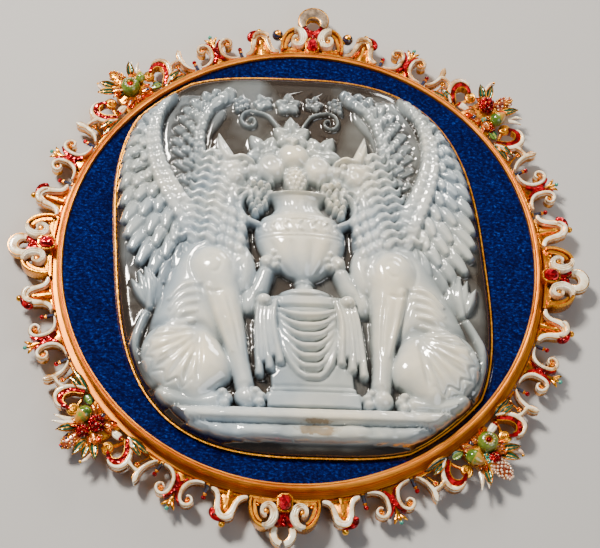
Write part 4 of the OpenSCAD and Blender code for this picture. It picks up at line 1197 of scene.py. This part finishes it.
bracket = {
    "leg": [[4.65, 65.45, 0.4], [4, 65.5, 0.62], [3.2, 65.9, 0.72], [2.55, 66.8, 0.68],
            [2.15, 68.2, 0.72], [1.8, 69.9, 0.84], [1.0, 71.1, 0.8], [0.1, 71.5, 0.62]],
    "cup": [[-2.2, 70.3, 0.4], [-1.9, 71.2, 0.6], [-0.9, 71.9, 0.66], [0.4, 72, 0.62], [1.5, 71.2, 0.5],
            [1.9, 70.2, 0.3]],
    "web": [[1.9, 65.2], [1.7, 70], [0.9, 71.1]],
    "rib": [[0, 64.9, 0.62], [0, 66.2, 0.5], [0, 67.8, 0.42], [0, 69.2, 0.5], [0, 69.9, 0.3]],
    "curl": [[-1.3, 71.9, 4.6, 0.3], [-0.4, 72.4, 4.9, 0.5], [0.9, 72.5, 5.1, 0.66],
             [2.1, 72.2, 5.1, 0.72], [2.9, 71.4, 4.9, 0.7], [3, 70.6, 4.7, 0.55], [2.4, 70.1, 4.5, 0.3]],
    "curlBead": (2.85, 70.9, 4.95, 0.84),
    "stalk": [[-0.2, 71.9, 3.9, 0.3], [-0.2, 72.6, 3.9, 0.28], [-0.2, 73.1, 3.9, 0.24]],
    "stalkBead": (-0.2, 73.3, 4.1, 0.84)}


def makeBracket():
    pile, low, high = newPile(), ornament["low"], ornament["high"]
    sweep(pile, bothSides(bracket["leg"]), low, high)
    sweep(pile, [bracket["cup"]], low + 0.5, high + 0.45)
    cutPlate(pile, wholeOutline(bracket["web"]), low + 0.2, low + 1.3, "gold", 0.1)
    band(pile, [bracket["rib"]], low + 1, high - 0.5)
    band(pile, [arcRows(65.15, -3.7, 3.7, 0.45)], low, low + 1.7)
    tube(pile, bracket["curl"], "redEnamel", 12)
    beads(pile, [bracket["curlBead"]], "redEnamel")
    tube(pile, bracket["stalk"], "gold", 8)
    beads(pile, [bracket["stalkBead"]], "paleGold")
    return meshOf("bracket", pile)


scroll = {
    "side": [[5.5, 64.95, 0.3], [4.5, 65.05, 0.4], [3.4, 65.4, 0.46], [2.4, 66.1, 0.5],
             [1.75, 67.1, 0.52], [1.45, 68.4, 0.52], [1.5, 69.9, 0.5], [1.9, 71.1, 0.5],
             [2.8, 71.85, 0.5], [3.8, 71.85, 0.48], [4.6, 71.2, 0.45], [4.8, 70.3, 0.42],
             [4.3, 69.6, 0.38], [3.6, 69.45, 0.33], [3.1, 69.85, 0.28]],
    "boss": [(0, -1.5), (0.6, -1.5), (0.72, -1.3), (0.72, 0.7), (0.55, 0.95), (0.3, 0.75), (0.14, 1.05),
             (0, 1.1)],
    "bossAt": (3.72, 70.5),
    "web": [[-1.5, 65.7, 0.3], [-0.75, 66.8, 0.42], [-0.25, 68, 0.5], [-0.4, 69.4, 0.5],
            [-1.1, 70.9, 0.5], [-2.1, 72.2, 0.28]],
    "webBeads": [(0, 68.7, 5.1, 0.55), (0, 69.8, 5.0, 0.42), (0, 67.6, 5.0, 0.42)],
    "back": [[1.9, 64.95], [1.2, 66.4], [0.5, 67.6], [0.3, 70.9], [0.5, 72.4]],
    "petals": ((-1.75, 74.1), (0, 74.5), (1.75, 74.1)),
    "cup": [(0, -0.6), (0.55, -0.4), (0.62, 0), (0.5, 0.4), (0, 0.6)]}


def makeScroll():
    pile, low, high = newPile(), ornament["low"], ornament["high"]
    sweep(pile, bothSides(scroll["side"]), low, high)
    for s in (-1, 1):
        x, y = scroll["bossAt"]
        turned(pile, scroll["boss"], 1, (s * x, y, ornament["middle"]), "gold", 18)
    band(pile, bothSides(scroll["web"]), low + 0.3, high - 0.25, "redEnamel")
    beads(pile, scroll["webBeads"], "redEnamel", 2)
    cutPlate(pile, wholeOutline(scroll["back"]), low + 0.4, high - 1.1, "gold", 0.12)
    band(pile, [arcRows(65.05, -4.6, 4.6, 0.36)], low, low + 1.3)
    # calyx: three gold petals and a small bead
    for x, y in scroll["petals"]:
        tube(pile, [[0.1 * x, 71.3, 3.9, 0.3], [0.25 * x, 72.3, 4.0, 0.38], [0.6 * x, 73.3, 4.15, 0.45],
                    [x, y, 4.0, 0.14]], "gold", 9, 0.7)
    turned(pile, scroll["cup"], 1, (0, 72.4, ornament["middle"]), "paleGold", 14, lean=90)
    beads(pile, [(0, 74.4, 4.1, 0.55)], "teal")
    return meshOf("scroll", pile)


crest = {
    "post": [[-6.5, 65.1, 0.26], [-5.8, 65.8, 0.4], [-5, 67.3, 0.5], [-4.65, 69, 0.58],
             [-4.6, 70.4, 0.66], [-4.85, 71.6, 0.82], [-5.15, 72.4, 0.6], [-5.3, 73.0, 0.2]],
    "bridge": [[-4.5, 70.1, 0.62], [-3.6, 70.15, 0.5], [-2.6, 70.1, 0.42], [-1.6, 69.85, 0.55],
               [-0.7, 69.6, 0.75]],
    "bow": [[2.6, 64.98, 0.26], [1.7, 65.6, 0.4], [0.7, 66.6, 0.5], [-0.2, 68, 0.6], [-0.7, 69.6, 0.68],
            [-0.6, 71.2, 0.66], [0.1, 72.4, 0.6], [1.3, 73, 0.5], [2.6, 72.95, 0.38], [3.4, 72.5, 0.24]],
    "lining": [[3.0, 65.5, 0.34], [1.95, 66.7, 0.5], [0.95, 68.1, 0.58], [0.55, 69.6, 0.6],
               [0.7, 70.9, 0.6], [1.45, 71.8, 0.6], [2.55, 72.1, 0.58], [3.6, 71.8, 0.55],
               [4.4, 71.2, 0.46], [4.9, 70.7, 0.3]],
    "wire": [[3.4, 66, 0.1], [2.5, 67.1, 0.12], [1.6, 68.3, 0.12], [1.25, 69.6, 0.12], [1.4, 70.5, 0.12],
             [1.95, 71.1, 0.12], [2.7, 71.4, 0.12], [3.6, 71.1, 0.1]],
    "snailStem": [[5, 68.8, 3.6, 0.5], [4, 67.2, 3.4, 0.42], [3.4, 65.9, 3.2, 0.4], [3.2, 65, 3, 0.36]],
    "flowerStem": [[-2.9, 68.4, 3.9, 0.24], [-3.1, 67, 3.6, 0.24], [-3.6, 65.8, 3.2, 0.26],
                   [-3.8, 65, 3, 0.3]],
    "flowerAt": (-2.9, 68.7), "snail": (5.4, 70, 4.2, 1.78, 130, -1),
    "leaves": (((3.4, 64.95, 4.6), 7.4, 1.0, 179), ((2.2, 65.6, 4.95), 5.2, 0.9, 164))}


def makeCrest():
    pile, low, high = newPile(), ornament["low"], ornament["high"]
    sweep(pile, [crest["post"], crest["bridge"], crest["bow"]], low, high)
    band(pile, [crest["lining"]], low + 0.1, high - 0.25, "redEnamel", "brownRed")
    band(pile, [crest["wire"]], low + 0.4, high - 0.15, "paleGold", "gold")
    snail(pile, *crest["snail"])
    tube(pile, crest["snailStem"], "gold", 9)
    # a small gold flower under the bridge
    beads(pile, circled(*crest["flowerAt"], 0.42, np.arange(5) * 2 * math.pi / 5, 4.3, 0.3), "gold", 2)
    beads(pile, [(*crest["flowerAt"], 4.5, 0.27)], "redEnamel", 2)
    tube(pile, crest["flowerStem"], "gold", 8)
    band(pile, [arcRows(65.05, -5.7, 3.2, 0.36)], low, low + 1.3)
    for row in crest["leaves"]:
        leaf(pile, *row)
    return meshOf("crest", pile)


pin = {"profile": [(0, 0), (0.62, 0.02), (0.62, 0.3), (0.5, 0.4), (0.5, 2.5), (0.6, 2.6), (0.6, 2.85),
                   (0.3, 3.0), (0.3, 3.5), (0, 3.6)],
       "finish": ["gold"] * 3 + ["nightBlue"] + ["gold"] * 5, "beadAt": 3.7, "beadSize": 0.62}


def makePin():
    pile, y, z = newPile(), ornament["seat"], ornament["middle"]
    turned(pile, pin["profile"], 1, (0, y, z), pin["finish"], 6, lean=-90)
    beads(pile, [(0, y + pin["beadAt"], z, pin["beadSize"])], "redEnamel")
    return meshOf("pin", pile, 30)


def settle(kind, mesh, number, place, turn):
    # a copy of the shape beside a side's middle, a little uneven as hand work is
    copy = mesh.copy()
    copy.name = f"{kind}{number}"
    points = np.zeros(len(copy.vertices) * 3)
    copy.vertices.foreach_get("co", points)
    x, y, z = points.reshape(-1, 3).T / mm
    phase = np.random.default_rng(7 * number + len(kind)).uniform(0, 2 * math.pi, 3)
    wave = ornament["uneven"]
    x = x + wave * np.sin(0.8 * y + phase[0])
    y = y + wave * np.sin(0.7 * x + phase[1]) * np.clip((y - 65.5) / 2, 0, 1)
    z = z + wave * np.sin(0.6 * x + 0.5 * y + phase[2])
    hand = -1 if place % 2 else 1  # every other piece is mirrored
    spun = aimed(np.c_[hand * x, y, z], (0, 0, 0), 90 * ((place - 1) // 2) - hand * turn - 90)
    copy.vertices.foreach_set("co", (spun * mm).ravel())
    if hand < 0:
        copy.flip_normals()
    copy.update()
    showPiece(copy.name, copy, f"{kind}_{number}")


for kind, build in (("bracket", makeBracket), ("scroll", makeScroll), ("crest", makeCrest)):
    shape = build()
    for number in range(1, 9):
        settle(kind, shape, number, number, ornament["turns"][kind])
    print(kind, "pieces made,", len(shape.polygons), "faces each")
shape = makePin()
for number in range(1, 17):
    settle("pin", shape, number, (number + 1) // 2, ornament["pinTurns"][number % 2])

# Cartouches and rubies

cartouche = {
    "rubyY": 66.2, "rubyHalf": (1.5, 1.9), "rubyCut": 0.8, "rubySeat": 6.0, "rubyTop": 9.0,
    "colletWall": 0.5, "colletCut": 1.0, "colletLow": 4.25, "colletHigh": 7.3, "voluteHigh": 7.2,
    "step": 0.4,
    "volute": [[8.25, 65.05, 0.4], [8.45, 66.4, 0.42], [8.3, 68.1, 0.42], [7.8, 69.7, 0.42],
               [6.9, 71.1, 0.42], [5.7, 71.95, 0.45], [4.5, 72.1, 0.45]],
    "inner": [[7.45, 65.6, 0.4], [7.4, 67.2, 0.48], [7.0, 68.9, 0.48], [6.3, 70.15, 0.42],
              [5.5, 70.85, 0.3]],
    "curl": [[5.3, 71.9, 0.4], [4.3, 71.9, 0.66], [3.2, 71.2, 0.92], [2.5, 69.8, 1.04], [2.5, 68.3, 1.02],
             [3.1, 67.1, 0.92], [4.2, 66.7, 0.75], [5.2, 67.3, 0.6], [5.5, 68.4, 0.48], [5, 69.3, 0.38],
             [4.3, 69.2, 0.3]],
    "boss": [(0, -2.2), (0.5, -2.2), (0.62, -1.9), (0.62, 1.7), (0.4, 2.0), (0, 2.1)],
    "bossAt": (4.45, 68.3, 4.7),
    "stripe": [[2.15, 71.7, 0.4], [1.5, 71, 0.5], [0.95, 70, 0.5], [0.75, 68.9, 0.5], [1.0, 67.6, 0.45]],
    "stripeBack": [[0, 69.9], [1.6, 71], [1.9, 67]],
    "foot": [[2.9, 65.3, 0.3], [4.4, 65.7, 0.5], [6, 65.7, 0.5], [7.6, 65.4, 0.3]],
    "footBeads": [(6.6, 66.4, 4.9, 0.42), (5.6, 66.1, 5.1, 0.34)],
    "arm": [(8.2, 68.9, 4, 0.45), (8.9, 69.8, 4, 0.42), (9.7, 70.8, 4, 0.4)], "ballAt": (9.9, 71, 4),
    "ball": [(0, -1), (0.5, -0.87), (0.87, -0.5), (1, 0), (0.92, 0.38), (0.78, 0.62), (0.55, 0.83),
             (0.45, 0.84), (0.28, 0.98), (0, 1.0)],
    "bail": (74.8, 2.0, 4.1), "loop": (72.4, 1.5, 3.1), "split": {"bottom": 0.3}}


def octagon(grow, cut):
    x, y = (half + grow for half in cartouche["rubyHalf"])
    return np.array([(x - cut, -y), (x, -y + cut), (x, y - cut), (x - cut, y),
                     (-x + cut, y), (-x, y - cut), (-x, -y + cut), (-x + cut, -y)])


def ringAt(points, share, z):
    return np.c_[points * share + (0, cartouche["rubyY"]), np.full(len(points), z)]


def makeRuby():
    c = cartouche
    full = octagon(0, c["rubyCut"])
    sides = (full + np.roll(full, -1, 0)) / 2
    corners = np.stack([full, sides], 1).reshape(-1, 2)
    foot, top = c["rubySeat"] + 0.05, c["rubyTop"]
    rings = ((full, 0.56, top - 0.02), (sides, 0.82, top - 0.55), (corners, 1, foot + 1.55),
             (corners, 1, foot + 1.3), (corners, 0.8, foot))
    faces = [range(8), range(63, 47, -1)]
    for i in range(8):
        j, g = (i + 1) % 8, 16 + 2 * i
        faces += [(i, 8 + i, j), (i, 8 + (i - 1) % 8, g, 8 + i), (8 + i, g, g + 1),
                  (8 + i, g + 1, 16 + (2 * i + 2) % 16)]
    pile = newPile()
    addShell(pile, np.vstack([ringAt(*ring) for ring in rings]),
             faces + skin(16, 32, 16) + skin(32, 48, 16), "ruby")
    return meshOf("ruby", pile, 4)


def addLoop(pile, holeY, holeR, archR, enamel, split, low, high):
    # the loop over the top, which runs thin at a split, and the red web under it
    rows = []
    for a in np.radians(np.linspace(-122, 122, 25)):
        way = np.array((math.sin(a), math.cos(a)))
        outer, inside = archR * way + (0, holeY + 0.4 * archR), holeR * way + (0, holeY)
        thin = split * 1.5 * max(0, 1 - abs(math.degrees(a)) / 110)
        middle = (outer * (1 + thin) + inside * (1 - thin)) / 2
        rows.append([*middle, np.linalg.norm(outer - inside) / 2 * (1 - thin)])
    paths = [rows[:12], rows[13:]] if split else [rows]
    sweep(pile, paths, low + 0.03, high, finish=("gold", enamel), split=0.35, edge=(0.9, 0.95), steps=2)
    web = [[0, holeY - holeR - 0.05], [1, holeY - holeR * 0.85], [holeR, holeY - 0.4],
           [2.2, holeY - 0.2], [3.2, 72.6], [4.3, 71.2], [2, 69.7]]
    cutPlate(pile, wholeOutline(web), low + 0.06, high - 0.5, "redEnamel")


def addCollet(pile):
    # a collet with a milled edge and eight claws
    c = cartouche
    low, high = c["colletLow"], c["colletHigh"]
    wall, pocket = octagon(c["colletWall"], c["colletCut"]), octagon(0.06, c["rubyCut"])
    addRings(pile, [ringAt(*ring) for ring in (
        (wall, 0.97, low), (wall, 1, low + 0.3), (wall, 0.97, 5.4), (wall, 1, 6.9), (wall, 0.97, 7.25),
        (pocket, 1.04, high), (pocket, 1, 7.15), (pocket, 1, c["rubySeat"]))], "gold")
    beads(pile, [(*claw, 0.26) for claw in ringAt(octagon(0.2, 0.9), 1, high + 0.05)], "paleGold", 2)


def makeCartouche(holeY, holeR, archR, bail, split):
    c, pile, low, top = cartouche, newPile(), ornament["low"], ornament["high"]
    step, high = c["step"], c["voluteHigh"]
    archHigh = top - step
    band(pile, [arcRows(65.1, -7.7, 7.7, 0.43, 15)], low, archHigh)
    # gold volutes: a broad band with a second, thinner turn inside
    sweep(pile, bothSides(c["volute"]), low, high - step, "enamelled", ("gold", "paleGold"), 0.97, (0.8, 0.9))
    band(pile, bothSides(c["inner"]), low + 0.8, high - 1.2)
    sweep(pile, bothSides(c["curl"]), low + step, high, "fluted", ("gold", "whiteEnamel"), 0.4, (2, 3))
    for (place,) in bothSides([c["bossAt"]]):
        turned(pile, c["boss"], 1, place, "gold", 16)
    # the hanging loop takes the darker enamel, which is partly wear and partly painted shade
    addLoop(pile, holeY, holeR, archR, "agedEnamel" if bail else "whiteEnamel", split, low + step, archHigh)
    # red stripes that meet above the stone
    band(pile, bothSides(c["stripe"]), low + step + 0.12, top + 0.1, "redEnamel", "gold", split=0.5)
    cutPlate(pile, wholeOutline(c["stripeBack"]), low + step + 0.18, top - 0.5, "redEnamel")
    beads(pile, [(0, 71, archHigh - 0.7, 0.5), (0, 70.1, top - 0.5, 0.55), (0, 69.1, top - 0.2, 0.6)],
          "redEnamel")
    addCollet(pile)
    band(pile, bothSides(c["foot"]), low + 0.4, 5.4)
    beads(pile, sum(bothSides(c["footBeads"]), []), "paleGold", 2)
    if bail:  # a ball on an arm at each side of the hanging loop
        for arm, (ball,) in zip(bothSides(c["arm"]), bothSides([c["ballAt"]])):
            tube(pile, arm, "gold", 10)
            turned(pile, c["ball"], 1.6, ball, ["nightBlue"] * 7 + ["gold"] * 2, 26)
            circle = circled(*ball[:2], 0.72, np.linspace(0, 2 * math.pi, 12), 5.4, 0.14)
            tube(pile, circle, "gold", 7, 1, 2)
    return meshOf("cartouche", pile)


for k, side in enumerate(("right", "top", "left", "bottom")):
    top = side == "top"
    shape = makeCartouche(*cartouche["bail" if top else "loop"], top, cartouche["split"].get(side, 0))
    for name, mesh, slot in (("cartouche", shape, "gold"), ("ruby", makeRuby(), "ruby")):
        mesh.transform(Matrix.Rotation(math.radians(90 * k - 90), 4, "Z"))
        showPiece(name + side.capitalize(), mesh, f"{name}_{side}")
print("cartouches, rubies and pins made")

# Bouquets: each row is a kind, its place across, out and up, its size and its turn. The surround is the same
# in every corner.

surround = [
    ("flame", 1.6, 70.6, 5.3, 3.4, 28), ("flame", -1.6, 70.6, 5.3, 3.4, 152),
    ("flame", 1.6, 67, 5.2, 3.2, -22), ("flame", -1.4, 66.9, 5.2, 3.2, 202),
    ("flame", 0.2, 66.8, 5.2, 2, -95), ("leaf", 2.6, 72.4, 4.7, 5.2, 60),
    ("leaf", -2.6, 72.4, 4.7, 5.2, 120), ("leaf", -3.2, 71.6, 4.9, 5.4, 146),
    ("bud", -7.6, 65.9, 4.9, 3.4, 12), ("pod", 7.6, 65.5, 5.1, 3.4, 170)]
bouquets = {
    "ne": [("berries", -1.6, 71.2, 5.8, 2.3, 0), ("pear", 3.6, 69.8, 6.2, 1.9, 85),
           ("grapes", 0.6, 73.8, 4.3, 2.1, 86), ("petal", -3.6, 72.4, 4.3, 6, 108),
           ("petal", 3.9, 71.9, 4.3, 5.6, 50), ("petal", 4.2, 71.2, 4.3, 5.6, 38),
           ("horn", -4.4, 73.2, 4.9, 5, 108), ("berries", 5, 66.6, 5, 1.1, 0),
           ("bead", -1.2, 66, 5.2, 0.9, 0)],
    "nw": [("apple", 0.3, 69.9, 5.8, 2.7, 0), ("pear", 4.2, 70.4, 6, 1.4, 60),
           ("grapes", -0.2, 73, 4.3, 2.2, 92), ("petal", 3.6, 72.2, 4.3, 5.2, 62),
           ("petal", 4.1, 71.4, 4.3, 5.2, 50), ("petal", -3, 72.6, 4.3, 5, 106),
           ("horn", -4.6, 72.8, 4.9, 4.2, 112), ("bead", 3.2, 66.4, 5.2, 0.9, 0),
           ("bead", -2.6, 66.3, 5.2, 0.8, 0)],
    "sw": [("pear", 3.6, 68.9, 6.2, 2, 95), ("berries", -0.4, 68.2, 5.7, 2.3, 0),
           ("berries", 0.5, 72, 5.2, 1.8, 0), ("grapes", 0.8, 73.8, 4.2, 2.1, 86),
           ("petal", 3.8, 71.4, 4.3, 6.2, 48), ("petal", 4.2, 70.9, 4.3, 6, 38),
           ("leaf", -1.8, 73, 4.7, 5, 100), ("horn", -4.7, 73, 4.9, 4.6, 104),
           ("bead", 0.2, 65.7, 5.2, 0.9, 0)],
    "se": [("apple", -2.1, 68.3, 5.8, 2.7, 0), ("pear", 3.5, 68.8, 6.2, 2, 105),
           ("grapes", -0.4, 73.6, 4.3, 2.3, 90), ("berries", -0.9, 72.1, 5.2, 1.6, 0),
           ("petal", 3.8, 71.2, 4.3, 6.2, 54), ("petal", 3.4, 71.9, 4.3, 5.6, 66),
           ("petal", -3.6, 72, 4.3, 5.6, 130), ("horn", -5.4, 72.6, 4.9, 4.2, 110),
           ("bead", 1.2, 65.8, 5.2, 0.8, 0)]}
cones = {"ne": (("coral", "gold", "seed", "paleGold", "redEnamel"), "coral"),
         "nw": (("seed", "paleGold", "coral", "gold"), "gold"),
         "sw": (("paleGold", "coral", "seed", "gold", "nightBlue", "redEnamel", "coral"), "coral"),
         "se": (("seed",), "coral")}
fruitShapes = {
    "apple": [(0, -0.8), (0.25, -0.95), (0.6, -0.84), (0.88, -0.45), (1, 0), (0.95, 0.38), (0.78, 0.7),
              (0.56, 0.86), (0.36, 0.86), (0.22, 0.74), (0.12, 0.6), (0, 0.55)],
    "pear": [(0, -0.9), (0.3, -0.98), (0.7, -0.76), (0.96, -0.26), (0.99, 0.14), (0.86, 0.55),
             (0.66, 0.92), (0.54, 1.2), (0.36, 1.45), (0.14, 1.57), (0, 1.52)],
    "calyx": [(0, -0.5), (0.42, -0.4), (0.66, 0), (0.84, 0.5), (0.7, 0.56), (0, 0.5)],
    "saucer": [(0, -0.5), (0.9, -0.45), (1.04, -0.1), (0.9, 0.1), (0, 0)]}
# rows along the length, which end in the radius
fruitRods = {
    "core": [(-0.6, 0.4), (-0.2, 0.8), (0.5, 0.86), (1.2, 0.84), (1.8, 0.66), (2.15, 0.3)],
    "petal": [(0, 0, -0.3, 0.42), (0.25, 0.3, -0.05, 0.6), (0.55, 0.4, 0.25, 0.52), (0.8, 0.2, 0.4, 0.34),
              (1, -0.1, 0.35, 0.08)],
    "horn": [(0, 0, 0, 0.3), (0.3, 0.35, 0.2, 0.46), (0.6, 0.4, 0.45, 0.5), (0.85, 0.1, 0.6, 0.38),
             (1, -0.45, 0.6, 0.12)],
    "bud": [(0.05, 0.3, 0.3), (0.3, 1, 0.55), (0.6, 1.15, 0.52), (0.9, 1.0, 0.3), (1.08, 0.9, 0.06)]}
bouquet = {"back": [[4.2, 70.6], [2.8, 73.6]], "backArc": 4.4, "backLow": 0.8, "between": 9,
           "acrossFrom": (-3.9, 3.9), "outFrom": (65.6, 72.8), "curl": 0.6, "blossom": 0.5, "firstSeed": 20}


def fromPlace(place, turn, rows):
    # rows of along, across, up and size, set out from a place that is turned
    x, y, z = place
    a = math.radians(turn)
    return [(x + along * math.cos(a) - across * math.sin(a), y + along * math.sin(a) + across * math.cos(a),
             z + up, size) for along, across, up, size in rows]


def addBerries(pile, place, size):
    # beads spread evenly over a ball, with a dot on each
    x, y, z = place
    count = 34 if size > 1.4 else 20
    places = []
    for k in range(count):
        up = 1 - 2 * (k + 0.5) / count
        a, wide = k * math.radians(137.508), 0.74 * size * math.sqrt(1 - up * up)
        places.append((x + wide * math.cos(a), y + wide * math.sin(a), z + 0.78 * size * up,
                       size * (0.27 if count > 30 else 0.33)))
    beads(pile, places, "redEnamel", 2)
    dots = [(*(c + 1.3 * (p - c) for p, c in zip(row, place)), 0.32 * row[3]) for row in places]
    for k, finish in enumerate(("paleGold", "seed", "coral")):
        beads(pile, dots[k::4], finish, 1)
    beads(pile, [(x, y, z, 0.72 * size)], "gold", 2)


def addGrapes(pile, place, size, turn, finishes, core):
    # a cone of beads in staggered rows
    rows, count = [], 11
    for j in range(count):
        s = j / (count - 1)
        half = size * (0.98 * math.sqrt(1 - (0.97 * s) ** 3.2) * (0.82 + 0.4 * s * (1 - s)))
        around = max(4, 2 * int(round(1.25 * half / (0.3 * size))))
        for i in range(around):
            a = 2 * math.pi * (i + 0.5 * (j % 2)) / around
            rows.append(((2.6 * s - 0.4) * size, half * math.cos(a), 0.1 + 0.46 * half * math.sin(a),
                         size * 0.15))
    places = fromPlace(place, turn, rows)
    for k, finish in enumerate(finishes):
        beads(pile, places[k::len(finishes)], finish, 2)
    rod = [(along * size, 0, 0, r * size) for along, r in fruitRods["core"]]
    tube(pile, fromPlace(place, turn, rod), core, 12, 0.45)


def addItem(pile, corner, kind, x, y, z, size, turn):
    def out(*rows):
        return fromPlace((x, y, z), turn, rows)

    def rod(name, finish, flat, thick=1, up=0):
        tube(pile, out(*((share * size, across, rise + up, r * thick)
                         for share, across, rise, r in fruitRods[name])), finish, 10, flat)

    place = (x, y, z)
    if kind == "apple":
        turned(pile, fruitShapes[kind], size, place,
               ["fruitGreen"] * 8 + ["gold"] + ["redEnamel"] * 2, 26)
        dots = np.radians(20 + 30 * np.arange(12))
        beads(pile, circled(x, y, 0.5 * size, dots, z + 0.9 * size, 0.09 * size), "seed", 1)
        beads(pile, [(x, y, z + 0.66 * size, 0.17 * size)], "redEnamel", 2)
    elif kind == "pear":
        turned(pile, fruitShapes[kind], size, place,
               ["fruitGreen"] * 4 + ["fruitBlend"] * 2 + ["fruitOrange"] * 4, 24, turn, 90)
        beads(pile, out((-0.93 * size, 0, 0, 0.2 * size)), "gold", 2)
        tube(pile, out(*((along * size, 0, 0, 0.09 * size) for along in (1.4, 1.65, 1.85))), "gold", 7)
    elif kind == "berries":
        addBerries(pile, place, size)
    elif kind == "grapes":
        addGrapes(pile, place, size, turn, *cones[corner])
    elif kind == "petal":
        rod(kind, "whiteEnamel", 0.62, 1, 0.12)
        rod(kind, "gold", 0.62, 0.82, -0.18)
    elif kind == "horn":
        rod(kind, "seed", 0.8)
        beads(pile, out((0.97 * size, -0.4, 0.6, 0.4)), "paleGold", 2)
    elif kind == "leaf":
        leaf(pile, place, size, 1.05, turn, tilt=-6)
    elif kind == "flame":
        leaf(pile, place, size, 0.85, turn, ("coral", "gold"), thick=0.6)
        for way, finish in ((1, "redEnamel"), (-1, "coral")):
            beside = out((0.15 * size, 0.5 * way, -0.1, 0))[0][:3]
            leaf(pile, beside, size * 0.9, 0.6, turn + 22 * way, (finish, "gold"))
    elif kind == "bud":
        for way in (-1, 0, 1):
            tube(pile, out(*((share * size, 0.4 * way * wide, 0.15 * (way == 0), r)
                             for share, wide, r in fruitRods[kind])), "whiteEnamel", 10)
        turned(pile, fruitShapes["calyx"], 1, out((0.3, 0, 0, 0))[0][:3],
               ["gold", "gold", "redEnamel", "redEnamel", "gold"], 14, turn, 90)
        beads(pile, out((0.86 * size, 0, 0, 0.3)), "redEnamel", 2)
    elif kind == "pod":
        leaf(pile, (x, y, z - 0.1), size, 1.05, turn, ("fruitGreen", "leafGreen"))
        beads(pile, out(*((size * (0.25 + 0.17 * k), 0, 0, 0.34 - 0.03 * k) for k in range(4))),
              "fruitGreen", 2)
    elif kind == "bead":
        beads(pile, [(x, y, z, size)], "nightBlue", 3)
        turned(pile, fruitShapes["saucer"], size, (x, y, z - 0.3 * size), "gold", 14)


def makeBouquet(corner, seed):
    pile, low, high = newPile(), ornament["low"], ornament["high"]
    arc = arcRows(ornament["seat"] + 0.02, -bouquet["backArc"], bouquet["backArc"], 0)
    back = [*(row[:2] for row in arc), *bouquet["back"], *([-x, y] for x, y in bouquet["back"][::-1])]
    cutPlate(pile, back, low, high - bouquet["backLow"], "gold")
    for row in [*surround, *bouquets[corner]]:
        addItem(pile, corner, *row)
    # gold curls, small blossoms and beads between the fruit
    pick, rise = np.random.default_rng(seed), high - 0.55
    for k in range(bouquet["between"]):
        x, y = pick.uniform(*bouquet["acrossFrom"]), pick.uniform(*bouquet["outFrom"])
        if k % 3 == 0:
            tube(pile, [circled(x, y, bouquet["curl"] * (1 - t), [7 * t + k], rise + 0.9 * t, 0.2)[0]
                        for t in np.linspace(0, 1, 9)], "gold", 8, 1, 3)
        else:
            turns = np.arange(5) * 2 * math.pi / 5 + k
            beads(pile, circled(x, y, bouquet["blossom"], turns, rise + 0.2, 0.32),
                  ("redEnamel", "coral", "teal")[k % 3], 2)
            beads(pile, [(x, y, rise + 0.45, 0.28)], "gold", 2)
    return meshOf("bouquet" + corner.capitalize(), pile)


for k, corner in enumerate(("ne", "nw", "sw", "se")):
    shape = makeBouquet(corner, bouquet["firstSeed"] + k)
    shape.transform(Matrix.Rotation(math.radians(90 * k - 45), 4, "Z"))
    showPiece("bouquet" + corner.capitalize(), shape, "bouquet_" + corner)
print("bouquets made")

# Floor, and the last lines


def makeFloor():
    half, low = lights["floor"]["size"] / 2, -lights["floor"]["below"]
    mesh = bpy.data.meshes.new("floor")
    mesh.from_pydata([(-half, -half, low), (half, -half, low), (half, half, low), (-half, half, low)], [],
                     [(0, 1, 2, 3)])
    mesh.materials.append(Finish("floor", {
        "Roughness": 0.8, "Specular IOR Level": 0.2, "Base Color": lights["floor"]["colour"]}).material)
    linked("floor", mesh)


makeFloor()
for holder in sections.values():
    bpy.data.objects.remove(holder)
print("all pieces made")
